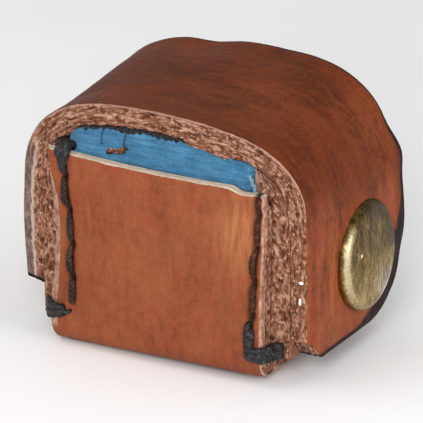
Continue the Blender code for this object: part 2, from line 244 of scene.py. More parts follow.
def slab(name, u, v, place, edge, thickness, radius, surface, fray, closed=False, rim_rows=12,
         marks=None, inner_round=1.0):
    """A sheet of real thickness with rounded, frayed cut edges.

    u and v are grids of positions on the flat sheet. place bends (u, v, w) into space, with w
    through the thickness. edge gives the distance to the cut outline, surface lifts each skin,
    and fray moves the cut edge outwards. inner_round scales the lower skin's edge radius. A
    closed sheet joins its first row to its last. marks are functions of (u, v, w) whose values
    the material reads.
    """
    rows, columns = u.shape
    drop = round_off(edge(u, v), radius)
    half = thickness / 2
    side = u.size

    skins = []
    for sign, rounding in ((1, 1.0), (-1, inner_round)):
        w = sign * (half - drop * rounding)
        skins.append(w + sign * surface(u, v, sign))

    if closed:
        loops = [[(i, 0) for i in range(rows)], [(i, columns - 1) for i in range(rows)]]
    else:
        loops = [[(0, j) for j in range(columns - 1)]
                 + [(i, columns - 1) for i in range(rows - 1)]
                 + [(rows - 1, j) for j in range(columns - 1, 0, -1)]
                 + [(i, 0) for i in range(rows - 1, 0, -1)]]

    step = 0.01
    points, sheet, cut = [], [], []
    for skin in skins:
        points.append(place(u, v, skin).reshape(-1, 3))
        sheet.append(stack(u, v, skin).reshape(-1, 3))
        cut.append((1 - smooth(0, radius, edge(u, v))).ravel())
    faces = grid_faces(rows, columns, 0, closed)
    faces += [face[::-1] for face in grid_faces(rows, columns, side, closed)]

    start = 2 * side
    for loop in loops:
        i, j = np.array(loop).T
        lu, lv = u[i, j], v[i, j]
        du = edge(lu + step, lv) - edge(lu - step, lv)
        dv = edge(lu, lv + step) - edge(lu, lv - step)
        length = np.hypot(du, dv) + 1e-9
        out_u, out_v = -du / length, -dv / length
        rings = [i * columns + j]
        for k in range(1, rim_rows):
            t = k / rim_rows
            w = skins[0][i, j] * (1 - t) + skins[1][i, j] * t
            out = fray(lu, lv, w) * math.sin(math.pi * t) ** 0.5
            points.append(place(lu + out_u * out, lv + out_v * out, w))
            sheet.append(stack(lu, lv, w))
            cut.append(np.ones(len(lu)))
            rings.append(start + np.arange(len(loop)))
            start += len(loop)
        rings.append(side + i * columns + j)
        for upper, lower in zip(rings, rings[1:]):
            quads = np.stack([upper, np.roll(upper, -1), np.roll(lower, -1), lower], -1)
            faces += quads.tolist()
    sheet = np.concatenate(sheet)
    values = {"sheet": sheet, "cut": np.concatenate(cut)}
    for key, mark in (marks or {}).items():
        values[key] = mark(*sheet.T)
    return make_mesh(name, np.concatenate(points), faces, values)


def shag(amount, size, seed, shift=0.0):
    """A surface or fray for a slab: even roughness over the flat sheet."""
    return lambda u, v, w: amount * rough(stack(u, v, w), size, 3, seed) + shift


def rounded_edge(u, v, u0, u1, v0, v1, radii):
    """Distance to the outline of a rectangle, with a corner radius for each corner.

    radii are for the corners (u0, v0), (u0, v1), (u1, v0) and (u1, v1).
    """
    low_u, high_u, low_v, high_v = u - u0, u1 - u, v - v0, v1 - v
    distance = np.minimum(np.minimum(low_u, high_u), np.minimum(low_v, high_v))
    corners = ((low_u, low_v), (low_u, high_v), (high_u, low_v), (high_u, high_v))
    for (a, b), radius in zip(corners, radii):
        if radius:
            inside = (a < radius) & (b < radius)
            curve = radius - np.hypot(radius - a, radius - b)
            distance = np.where(inside, np.minimum(distance, curve), distance)
    return distance


# ---- Materials ----
class Surface:
    """A Principled material and the short calls that build its node tree."""

    def __init__(self, name, **settings):
        self.material = bpy.data.materials.new(name)
        self.material.use_nodes = True
        self.tree = self.material.node_tree
        self.shader = self.tree.nodes["Principled BSDF"]
        for key, value in settings.items():
            self.shader.inputs[key.replace("_", " ")].default_value = value

    def node(self, kind, **values):
        made = self.tree.nodes.new(kind)
        for key, value in values.items():
            setattr(made, key, value)
        return made

    def feed(self, socket, value):
        if hasattr(value, "is_linked"):
            self.tree.links.new(value, socket)
        else:
            socket.default_value = value

    def attribute(self, name, output="Fac"):
        """A mark that the mesh carries."""
        return self.node('ShaderNodeAttribute', attribute_name=name).outputs[output]

    def place(self):
        """The point in the object, in millimetres."""
        where = self.node('ShaderNodeTexCoord').outputs["Object"]
        return self.stretch(where, (1000, 1000, 1000))

    def stretch(self, vector, scale):
        mapping = self.node('ShaderNodeMapping')
        self.feed(mapping.inputs["Vector"], vector)
        mapping.inputs["Scale"].default_value = scale
        return mapping.outputs["Vector"]

    def noise(self, vector, size, detail=3.0, roughness=0.55, distortion=0.0):
        """Noise with features of the given size along each axis, in millimetres."""
        texture = self.node('ShaderNodeTexNoise')
        scale = tuple(1.0 / s for s in size) if isinstance(size, tuple) else (1.0 / size,) * 3
        self.feed(texture.inputs["Vector"], self.stretch(vector, scale))
        settings = {"Scale": 1.0, "Detail": detail, "Roughness": roughness,
                    "Distortion": distortion}
        for key, value in settings.items():
            texture.inputs[key].default_value = value
        return texture.outputs["Fac"]

    def cells(self, vector, size):
        """The distance to the nearest line between cells of the given size."""
        texture = self.node('ShaderNodeTexVoronoi', feature='DISTANCE_TO_EDGE')
        self.feed(texture.inputs["Vector"], self.stretch(vector, (1.0 / size,) * 3))
        texture.inputs["Scale"].default_value = 1.0
        return texture.outputs["Distance"]

    def ramp(self, value, *stops):
        """A colour from a value; each stop is (position, (r, g, b))."""
        made = self.node('ShaderNodeValToRGB')
        self.feed(made.inputs["Fac"], value)
        ramp = made.color_ramp
        while len(ramp.elements) < len(stops):
            ramp.elements.new(0.5)
        for element, (position, colour) in zip(ramp.elements, stops):
            element.position = position
            element.color = (*colour, 1.0)
        return made.outputs["Color"]

    def range(self, value, low, high, to_low=0.0, to_high=1.0):
        """A smooth step from to_low to to_high while value goes from low to high."""
        made = self.node('ShaderNodeMapRange', interpolation_type='SMOOTHSTEP')
        for socket, number in zip(made.inputs, (value, low, high, to_low, to_high)):
            self.feed(socket, number)
        return made.outputs["Result"]

    def maths(self, operation, a, b=0.0):
        made = self.node('ShaderNodeMath', operation=operation)
        self.feed(made.inputs[0], a)
        self.feed(made.inputs[1], b)
        return made.outputs[0]

    def times(self, a, b):
        return self.maths('MULTIPLY', a, b)

    def add(self, base, *parts):
        """base plus (value, weight) pairs."""
        for value, weight in parts:
            base = self.maths('ADD', base, self.times(value, weight))
        return base

    def mix(self, factor, a, b):
        made = self.node('ShaderNodeMix', data_type='RGBA')
        self.feed(made.inputs["Factor"], factor)
        for socket, value in zip(made.inputs[6:8], (a, b)):
            self.feed(socket, (*value, 1.0) if isinstance(value, tuple) else value)
        return made.outputs[2]

    def split(self, vector):
        made = self.node('ShaderNodeSeparateXYZ')
        self.feed(made.inputs[0], vector)
        return made.outputs

    def bump(self, height, distance, strength=1.0, normal=None):
        """distance is the height of a full step, in millimetres."""
        made = self.node('ShaderNodeBump')
        made.inputs["Strength"].default_value = strength
        made.inputs["Distance"].default_value = distance * MM
        self.feed(made.inputs["Height"], height)
        if normal is not None:
            self.feed(made.inputs["Normal"], normal)
        return made.outputs["Normal"]

    def finish(self, colour, roughness=None, normal=None):
        self.feed(self.shader.inputs["Base Color"], colour)
        if roughness is not None:
            self.feed(self.shader.inputs["Roughness"], roughness)
        if normal is not None:
            self.feed(self.shader.inputs["Normal"], normal)
        return self.material


def scaled(colour, share):
    """A darker or lighter version of a colour."""
    return tuple(share * part for part in colour)


def leather(name, dark, mid, light, bright, shaded=0.45, cream=(0.47, 0.27, 0.21)):
    """Grained leather, whose cut edges show pale and dark fibres under a thin grain layer.

    The mesh says where it is cut, bevelled, pared or rubbed; where stains, painted shade and
    painted shadow darken it; where it is shaded, which is painted shade; and where a painted
    highlight lightens it.
    """
    s = Surface(name, Specular_IOR_Level=0.10)
    sheet = s.attribute("sheet", "Vector")
    cut, bevel, pared, shade, stain_and_shade, left, grain_side = (s.attribute(mark) for mark in (
        "cut", "bevel", "pared", "shade", "stain_and_shade", "rubbed", "grain_side"))
    w = s.split(sheet)[2]

    clouds = s.noise(sheet, (7.0, 3.5, 5.0), 4.0, 0.6)
    streaks = s.noise(sheet, (3.0, 0.5, 1.0), 4.0, 0.6)
    mottle = s.noise(sheet, 0.7, 5.0, 0.7)
    blotch = s.noise(sheet, (1.6, 1.3, 2.0), 3.0, 0.6)
    grain = s.noise(sheet, 0.16, 3.0, 0.7)
    tone = s.add(0.0, (clouds, 0.40), (streaks, 0.25), (mottle, 0.35))
    skin = s.ramp(tone, (0.38, dark), (0.5, mid), (0.62, light))
    ruddy = (mid[0] * 1.12, mid[1] * 0.80, mid[2] * 0.95)
    olive = (mid[0] * 0.84, mid[1] * 1.12, mid[2] * 1.05)
    skin = s.mix(s.range(blotch, 0.54, 0.70, 0.0, 0.55), skin, ruddy)
    skin = s.mix(s.range(blotch, 0.46, 0.30, 0.0, 0.55), skin, olive)
    # painted shade: where the mesh marks shade, the skin darkens towards a mottled deep brown
    deep = s.ramp(tone, (0.42, scaled(dark, 0.64)), (0.58, scaled(dark, 1.40)))
    skin = s.mix(s.times(shade, shaded), skin, deep)
    # painted highlight: marked streaks lighten towards the bright colour
    painted_highlight = s.times(s.attribute("painted_highlight"), s.range(streaks, 0.35, 0.60, 0.4, 1.0))
    skin = s.mix(painted_highlight, skin, bright)
    skin = s.mix(s.range(grain, 0.50, 0.68, 0.0, 0.45), skin, dark)
    skin = s.mix(s.range(grain, 0.46, 0.30, 0.0, 0.35), skin, light)

    fibre = s.noise(sheet, (1.6, 1.6, 0.33), 3.0, 0.65, 0.8)
    lumps = s.noise(sheet, (0.72, 0.72, 0.42), 3.0, 0.65, 0.6)
    flecks = s.noise(sheet, (0.42, 0.42, 0.26), 1.0, 0.5)
    along = s.range(shade, 0.0, 1.0, 0.35, 0.75)
    mixed = s.add(0.0, (fibre, along), (lumps, s.maths('SUBTRACT', 1.0, along)))
    flesh = s.ramp(mixed, (0.38, (0.060, 0.020, 0.011)), (0.46, (0.165, 0.059, 0.031)),
                   (0.54, (0.305, 0.131, 0.079)), (0.64, (0.540, 0.328, 0.236)))
    flesh = s.mix(s.range(flecks, 0.58, 0.70, 0.0, 0.75), flesh, (0.58, 0.39, 0.29))
    flesh = s.mix(s.range(flecks, 0.38, 0.28, 0.0, 0.75), flesh, (0.045, 0.016, 0.010))
    pale = s.ramp(fibre, (0.35, scaled(cream, 0.65)), (0.6, cream))
    rosy = s.ramp(mixed, (0.38, (0.180, 0.070, 0.042)), (0.48, (0.380, 0.190, 0.128)),
                  (0.62, (0.540, 0.320, 0.235)))

    # the left leg is rubbed grey outside, with a white thread of fibre beside the brown
    wander = s.noise(sheet, (1.3, 1.3, 9.0), 3.0, 0.6)
    depth = s.maths('SUBTRACT', s.add(w, (wander, 0.7)), 0.35)
    grey = s.times(s.range(depth, 0.14, 0.30), left)
    rubbed = s.ramp(mixed, (0.40, (0.098, 0.074, 0.064)), (0.60, (0.235, 0.168, 0.142)))
    rubbed = s.mix(s.range(flecks, 0.58, 0.72, 0.0, 0.5), rubbed, (0.36, 0.28, 0.25))
    edge = s.mix(s.times(grey, 0.85), flesh, rubbed)
    white = s.times(s.range(depth, -0.16, 0.02), s.range(depth, 0.26, 0.14))
    edge = s.mix(s.times(white, s.times(left, 0.8)), edge, (0.56, 0.44, 0.39))
    rim = s.range(s.add(grain_side, (lumps, 0.36)), 0.90, 1.04, 0.0, 0.80)
    rim = s.times(rim, s.maths('SUBTRACT', 1.0, left))
    edge = s.mix(rim, edge, pale)
    edge = s.mix(s.range(bevel, 0.3, 0.7, 0.0, 0.85), edge, rosy)
    edge = s.mix(s.range(pared, 0.3, 0.7), edge, pale)
    inside = s.range(grain_side, -0.60, -0.85)
    skin = s.mix(inside, skin, s.mix(0.6, flesh, (0.270, 0.120, 0.075)))
    bared = s.maths('MAXIMUM', cut, s.maths('MAXIMUM', bevel, pared))
    bared = s.range(s.add(bared, (mottle, 0.5)), 0.75, 1.05)
    colour = s.mix(bared, skin, edge)
    # stains, and the painted shade and painted shadow marked with them, darken towards near black
    stain_and_shade_amount = s.range(s.add(stain_and_shade, (mottle, 0.4)), 0.35, 1.1)
    colour = s.mix(stain_and_shade_amount, colour, s.ramp(mixed, (0.42, (0.011, 0.005, 0.004)),
                                           (0.66, (0.034, 0.015, 0.010))))

    gloss = s.range(mottle, 0.35, 0.65, 0.44, 0.60)
    roughness = s.mix(bared, gloss, (0.72, 0.72, 0.72))
    pores = s.cells(sheet, 0.30)
    skin_bump = s.bump(pores, 0.03, 0.35, s.bump(grain, 0.04, 0.5, s.bump(mottle, 0.10, 0.5)))
    edge_bump = s.bump(fibre, 0.22, 0.9, s.bump(lumps, 0.20, 0.8))
    normal = s.node('ShaderNodeMix', data_type='VECTOR')
    s.feed(normal.inputs["Factor"], bared)
    s.feed(normal.inputs[4], skin_bump)
    s.feed(normal.inputs[5], edge_bump)
    return s.finish(colour, roughness, normal.outputs[1])


def felt_material():
    """Blue wool felt; the mesh says where it is darkened to near black in scallops, and where it is
    bleached.
    """
    s = Surface("blue_felt", Specular_IOR_Level=0.15, Sheen_Weight=0.25, Sheen_Roughness=0.6)
    where = s.place()
    clouds = s.noise(where, 2.0, 4.0, 0.6)
    streaks = s.noise(where, (2.5, 2.5, 0.30), 3.0, 0.6)
    fuzz = s.noise(where, 0.15, 5.0, 0.75, 0.6)
    tone = s.add(0.0, (clouds, 0.25), (fuzz, 0.4), (streaks, 0.35))
    colour = s.ramp(tone, (0.38, (0.016, 0.085, 0.170)), (0.50, (0.036, 0.168, 0.310)),
                    (0.62, (0.085, 0.285, 0.460)))
    bleached = s.range(s.add(s.attribute("bleached"), (fuzz, 0.6)), 0.45, 1.2)
    colour = s.mix(bleached, colour, (0.46, 0.50, 0.54))
    scallop_dark = s.range(s.add(s.attribute("stain_and_shade"), (fuzz, 0.4)), 0.50, 0.85)
    colour = s.mix(scallop_dark, colour, (0.006, 0.006, 0.008))
    normal = s.bump(fuzz, 0.10, 0.8, s.bump(clouds, 0.25, 0.5))
    return s.finish(colour, 0.95, normal)


def thread_material(name, dark, mid, light, gloss):
    """Waxed thread, with the wax lighter in patches."""
    s = Surface(name, Specular_IOR_Level=gloss)
    where = s.place()
    wax = s.noise(where, 0.5, 4.0, 0.6)
    fibre = s.noise(where, 0.07, 3.0, 0.7)
    colour = s.ramp(wax, (0.42, dark), (0.58, mid), (0.70, light))
    normal = s.bump(fibre, 0.03, 0.8, s.bump(wax, 0.08, 0.6))
    return s.finish(colour, s.range(wax, 0.3, 0.7, 0.52, 0.34), normal)


def wax_highlight_material():
    """A white, glossy drop: a painted highlight shaped as wax."""
    s = Surface("white_wax_highlight", Specular_IOR_Level=0.5, Roughness=0.3)
    cloud = s.noise(s.place(), 0.2, 3.0)
    return s.finish(s.ramp(cloud, (0.35, (0.82, 0.74, 0.68)), (0.65, (0.90, 0.86, 0.82))), 0.32,
                    s.bump(cloud, 0.02, 0.5))


def brass_material():
    """Tarnished brass; the mesh says where it is worn bright, which is partly a painted highlight,
    and where a painted glint, painted reflections and painted shade lie.
    """
    s = Surface("aged_brass", Metallic=1.0)
    where = s.place()
    tarnish = s.noise(where, (2.0, 1.1, 1.8), 5.0, 0.65)
    specks = s.noise(where, 0.20, 5.0, 0.7)
    streaks = s.noise(where, (0.8, 0.35, 1.1), 5.0, 0.7, 1.2)
    scratch = s.noise(where, (0.6, 0.06, 1.2), 3.0, 0.6, 1.5)
    worn = s.attribute("worn")
    # painted reflection: darker towards the top, lighter towards the bottom
    height = s.range(s.split(where)[2], 14.0, 4.5, -0.12, 0.05)
    tone = s.add(0.0, (tarnish, 0.40), (specks, 0.25), (streaks, 0.35), (height, 1.0))
    dull = s.ramp(tone, (0.37, (0.066, 0.038, 0.010)), (0.5, (0.262, 0.166, 0.048)),
                  (0.61, (0.540, 0.390, 0.165)))
    bright = s.ramp(specks, (0.3, (0.52, 0.42, 0.23)), (0.7, (0.90, 0.79, 0.54)))
    # the worn rim: real wear and a painted highlight
    wear_and_highlight = s.range(s.add(worn, (streaks, 0.8)), 0.60, 1.45, 0.0, 0.9)
    # painted reflection: pale where the mark is positive
    painted_reflection_and_shade = s.attribute("painted_reflection_and_shade")
    dull = s.mix(s.range(painted_reflection_and_shade, 0.1, 0.9, 0.0, 0.55), dull,
                 s.ramp(streaks, (0.42, (0.16, 0.12, 0.09)), (0.60, (0.60, 0.52, 0.46))))
    dull = s.mix(s.range(painted_reflection_and_shade, 0.9, 1.4, 0.0, 0.85), dull, (0.86, 0.76, 0.70))
    colour = s.mix(wear_and_highlight, dull, bright)
    # painted shade: dark where the mark is negative
    colour = s.mix(s.range(painted_reflection_and_shade, -0.1, -0.8, 0.0, 0.78), colour, (0.066, 0.042, 0.020))
    colour = s.mix(s.range(scratch, 0.62, 0.74, 0.0, 0.5), colour, (0.62, 0.50, 0.32))
    # painted glint: near white, where the mesh marks it
    glint_spot = s.range(s.attribute("glint_spot"), 0.35, 0.75)
    colour = s.mix(glint_spot, colour, (0.95, 0.86, 0.80))
    roughness = s.add(s.range(tone, 0.35, 0.65, 0.46, 0.30), (worn, -0.10), (glint_spot, 0.25))
    normal = s.bump(scratch, 0.02, 0.5, s.bump(streaks, 0.05, 0.5, s.bump(specks, 0.015, 0.4)))
    return s.finish(colour, roughness, normal)


# ---- The arch that the band, the walls and the liner follow ----
ARCH_POINTS = 400
FRONT_POINTS = 600               # to look up where the band's inner face is, at the front


def cubic(a, b, c, d, count):
    """Points on a cubic curve from a to d, with handles b and c."""
    t = np.linspace(0, 1, count)[:, None]
    a, b, c, d = (np.array(p, float) for p in (a, b, c, d))
    return (1 - t) ** 3 * a + 3 * (1 - t) ** 2 * t * b + 3 * (1 - t) * t * t * c + t ** 3 * d


def arch_line(crown, left_spring, left_handles, right_spring, right_handles, bulge, lean):
    """Evenly spaced points over the arch, from the left foot to the right foot.

    The left leg bulges out below its shoulder, and the right leg leans in towards its foot.
    """
    left_x = -BAND_HALF - bulge
    left = cubic((left_x, left_spring), (left_x, left_spring + left_handles[0]),
                 (crown[0] - left_handles[1], crown[1]), crown, 200)
    right = cubic(crown, (crown[0] + right_handles[0], crown[1]),
                  (BAND_HALF, right_spring + right_handles[1]), (BAND_HALF, right_spring), 200)
    foot = cubic((BAND_HALF, right_spring), (BAND_HALF, right_spring - 3),
                 (BAND_HALF - lean, 6), (BAND_HALF - lean, RIGHT_FOOT), 60)
    line = np.concatenate([[(-BAND_HALF - 0.15, LEFT_FOOT)], left, right[1:], foot[1:]])
    points, _, length = even_points(line, ARCH_POINTS)
    return points, length


FRONT_ARCH, FRONT_LENGTH = arch_line((-2.0, 23.1), 14.1, (7.35, 7.8), 12.3, (14.0, 8.0), 0.30, 0.0)
BACK_ARCH, BACK_LENGTH = arch_line((3.5, 23.85), 17.3, (7.6, 2.5), 10.7, (8.6, 6.4), 0.05, 0.20)
ARCH_LENGTH = (FRONT_LENGTH + BACK_LENGTH) / 2


def arch_at(u, v):
    """Outer surface point (x, z) and outward normal of the arch at u along and v back."""
    share = np.clip(u / ARCH_LENGTH, 0, 1) * (ARCH_POINTS - 1)
    back = smooth(0, BAND_DEPTH, v)
    grid = np.arange(ARCH_POINTS)

    def look(at):
        at = np.clip(at, 0, ARCH_POINTS - 1)
        return [np.interp(at, grid, FRONT_ARCH[:, k]) * (1 - back)
                + np.interp(at, grid, BACK_ARCH[:, k]) * back for k in (0, 1)]

    x, z = look(share)
    (x0, z0), (x1, z1) = look(share - 2), look(share + 2)
    length = np.hypot(x1 - x0, z1 - z0)
    return x, z, -(z1 - z0) / length, (x1 - x0) / length


def under_front(depth):
    """x and z of the line this deep under the band's outer face, along its front edge."""
    x, z, nx, nz = arch_at(np.linspace(0, ARCH_LENGTH, FRONT_POINTS), np.zeros(FRONT_POINTS))
    return x - nx * depth, z - nz * depth


def crown_underside(x):
    """Height of the band's inner face above x, at the front."""
    line_x, line_z = under_front(BAND_THICK)
    upper = line_z > CROWN_LOW
    return look_up(x, line_x[upper], line_z[upper])


def wall_limit(z, side):
    """How far out, from the middle, a side wall can reach under the band at height z."""
    line_x, line_z = under_front(BAND_THICK + WALL_GAP)
    leg = side * line_x > WALL_INSIDE - 2
    return look_up(z, line_z[leg], side * line_x[leg])


def welt(z, v):
    """How far the right wall's frayed top swells in over the felt, above the panel."""
    return WELT * smooth(TOE_TOP - 2.8, TOE_TOP - 1.4, z) * (1 - smooth(0.7, 1.15, v))


# ---- Leather ----
def make_outer_band(material):
    """The strip over both sides and the crown; u runs along it from the left foot."""
    rim = 0.35

    def tab_end(v):
        """Where the right tab ends; its front corner is clipped off."""
        return ARCH_LENGTH - CLIP_RISE * (1 - smooth(0, CLIP_DEPTH, v))

    v_line = np.concatenate([ease_in(rim), np.linspace(rim, BAND_DEPTH - FOOT_CORNER, 44)[1:-1],
                             BAND_DEPTH - ease_in(FOOT_CORNER, 27)[::-1]])
    u_line = fine_ends(1.0, 0.0024, 0.012)
    start = round_off(BAND_DEPTH - v_line, FOOT_CORNER)
    stop = tab_end(v_line) - start
    v = np.broadcast_to(v_line, (len(u_line), len(v_line)))
    u = start + u_line[:, None] * (stop - start)

    def edge(u, v):
        return rounded_edge(u, v, 0, tab_end(v), 0, BAND_DEPTH, (0, FOOT_CORNER, 0, FOOT_CORNER))

    def place(u, v, w):
        x, z, nx, nz = arch_at(u, v)
        p = stack(u, v, 0 * u)
        lift = w - BAND_THICK / 2 + 0.07 * noise(p, 5.0, 3)
        lift = lift + 0.08 + 0.12 * smooth(BAND_DEPTH - 2.5, BAND_DEPTH, v)
        # the back edge over the pusher is pinched in, and flares out just below
        pinch = bell(v - BAND_DEPTH, 2.5) * smooth(8, 12, x)
        lift = lift + pinch * (0.40 * bell(z - 16.3, 1.4) - 0.15 * bell(z - 19.0, 1.2)
                               - 0.30 * bell(z - 6.9, 2.0))
        # the crown dips at the back, and the left shoulder is flattened between the edges
        lift = lift - 0.38 * bell(x + 4.8, 2.3) * smooth(11, 17.5, v)
        lift = lift - 0.25 * bell(v - 5.0, 3.5) * bell(x + 10.5, 2.5) * (z > CROWN_LOW)
        wave = 0.10 * noise(p, 3.2, 8) * (bell(v, 3.0) + bell(v - BAND_DEPTH, 3.0))
        # the left foot is cut at a slant, longer on the flesh side
        slant = 0.22 * (1 - w) * (1 - smooth(0, 3.0, u))
        return stack(x + nx * lift, v + wave, z + nz * lift - slant)

    def surface(u, v, sign):
        p = stack(u, v, sign + 0 * u)
        if sign > 0:
            # the right leg's front edge is rubbed round
            worn = bell(v, 0.9) * smooth(ARCH_LENGTH - 16, ARCH_LENGTH - 12, u)
            return 0.02 * rough(p, 0.9, 3, 11) - 0.34 * worn
        # the flesh side is shaggy, and hangs ragged over the right half of the slit
        x = arch_at(u, v)[0]
        hairs = 0.07 * rough(p, 0.5, 3, 15)
        droop = smooth(1.6, 2.2, x) * (1 - smooth(6.0, 9.5, x)) * bell(v, 0.8)
        droop = droop * (0.50 + 0.30 * noise(p, 0.8, 21))
        scallop = 0.12 * bell(v, 0.5) * noise(p, 0.6, 23) * (np.abs(x) < 10)
        # the left leg is thicker, and bunches up inside the left shoulder
        thick = 0.40 * (1 - smooth(12, 17, u)) + 0.50 * bell(x + 11.5, 1.2) * smooth(15, 17, u)
        return hairs + droop + scallop + thick * (1 - smooth(2.0, 6.0, v))

    def fray(u, v, w):
        p = stack(u, v, w)
        fibres = 0.20 * rough(p, (0.7, 0.7, 0.35), 3, 31) * (v < BAND_DEPTH / 2)
        layers = 0.05 * noise(p, (6.0, 6.0, 0.35), 37)
        return fibres + layers - 0.03

    def edge_stain_and_shade(u, v, w):
        """The back edge and the tab's end are darker; the left shoulder gets painted shade where it
        turns away from the view, and a painted shadow of the pusher lies below and behind it.
        """
        on_tab = smooth(ARCH_LENGTH - 11, ARCH_LENGTH - 7, u)
        away = rounded_edge(u, v, 0, ARCH_LENGTH, -9, BAND_DEPTH, (0, FOOT_CORNER, 0, FOOT_CORNER))
        tab = ARCH_LENGTH - u + 9 * (1 - smooth(0.5, 3.0, v))
        away = np.minimum(away, np.where(on_tab > 0, tab, 9))
        on_side = smooth(ARCH_LENGTH - 19, ARCH_LENGTH - 15, u)
        corner = smooth(BAND_DEPTH - 9, BAND_DEPTH - 5, v)
        reach = 0.48 + 0.42 * on_side + on_tab * (-0.10 + 1.7 * corner)
        dark = 1 - smooth(0.05 + 0.4 * (reach - 0.2), reach, away)
        foot = (1 - smooth(0.15, 0.35, u)) * (1 - smooth(-0.1, 0.3, w))
        x, z, nx, nz = arch_at(u, v)
        # painted shade on the left shoulder, where it turns away from the view
        tilt = np.degrees(np.arctan2(-nx, nz))
        uneven = 0.38 + 0.14 * noise(stack(u, v, 0 * u), (1.5, 3.0, 1.0), 27)
        shoulder = uneven * smooth(24, 38, tilt) * (1 - smooth(55, 80, tilt)) * (w > 0.9)
        # below and behind the pusher, a painted shadow of the cap reaches its rim
        back, up = v - PUSHER_Y - CAP_SHIFT[0], ARCH_LENGTH - u + RIGHT_FOOT - PUSHER_Z
        gap = np.hypot(back, up) - PUSHER_RADIUS
        behind = bell(np.degrees(np.arctan2(up, back)) + 28, 34) * (1 - smooth(1.6, 2.4, gap))
        # darker still: the crown's back left, behind the right leg's front edge, and the side's
        # back edge above the pusher
        patch = 0.36 * bell(np.hypot(x + 6.5, v - 10.5), 5.0) * (z > CROWN_LOW)
        front = 0.40 * bell(v - 0.9, 0.7) * smooth(ARCH_LENGTH - 16, ARCH_LENGTH - 12, u)
        above = 0.50 * on_side * bell(v - BAND_DEPTH, 1.9) * smooth(8, 10, z)
        behind = smooth(0.35, 0.6, behind)
        return np.max([dark, foot, shoulder, behind, patch, front, above], axis=0)

    def shade(u, v, w):
        """Painted shade: the crown is darker, as less light falls on it, less so in its middle and
        at the back's right, which are painted lighter.
        """
        x, z = arch_at(u, v)[:2]
        low = 13.4 - 1.5 * smooth(4, 8, v)
        lighter = 0.50 * bell(x - 12.5, 2.5) * smooth(10, 13, v)
        lighter = lighter + 0.22 * bell(np.hypot(x - 6.0, 0.8 * (v - 7.0)), 3.5)
        return smooth(low, low + 5.0, z) * (1 - lighter)

    def rubbed(u, v, w):
        return 1 - smooth(11, 15, u)

    def painted_highlight(u, v, w):
        """A streak beside the pusher is a painted highlight, lighter orange."""
        z = ARCH_LENGTH - u + RIGHT_FOOT
        return 0.9 * bell(v - PUSHER_Y + PUSHER_RADIUS + 0.95, 0.75) * bell(z - 9.0, 4.0)

    band = slab("leather_outer_band", u, v, place, edge, BAND_THICK, 0.18, surface, fray,
                rim_rows=14, inner_round=0.25,
                marks={"stain_and_shade": edge_stain_and_shade, "shade": shade, "painted_highlight": painted_highlight, "rubbed": rubbed,
                       "grain_side": lambda u, v, w: w})
    return finish_piece(band, material, "band_leather", "outer_band")


def seam_x(side, z):
    """Where the stitch line runs on the panel at height z."""
    if side < 0:
        return -8.68 - 0.94 * smooth(9.5, 18.5, z)
    return 9.60 + 0.75 * smooth(3.0, 18.0, z)


def toe_side(side, z):
    """Half-width of the panel at height z; the thread draws its edges in."""
    if side < 0:
        wide = 0.50 * smooth(12, 18.6, z) + 0.22 * bell(z - 4, 2.5)
        return TOE_HALF + wide - 0.30 * bell(z - 9.5, 4.0)
    return TOE_HALF - 0.15 * bell(z - 8.0, 4.0) - 0.20 * bell(z, 4.0)


def panel_face(x, z):
    """y of the panel's outer face."""
    round_x = 1 - (x / (TOE_HALF + 0.4)) ** 2
    round_z = 1 - ((z - 9.5) / 13.0) ** 2
    y = PANEL_Y - PANEL_BULGE * np.clip(round_x, 0, 1) ** 0.7 * np.clip(round_z, 0, 1)
    for side in (-1, 1):
        line = bell(x - seam_x(side, z), 0.55)
        y = y + 0.25 * line * smooth(2.0, 4.0, z)
        for height in STITCH_HOLES:
            y = y + 0.40 * bell(np.hypot(x - seam_x(side, height), z - height), 0.45)
    return y + 0.12


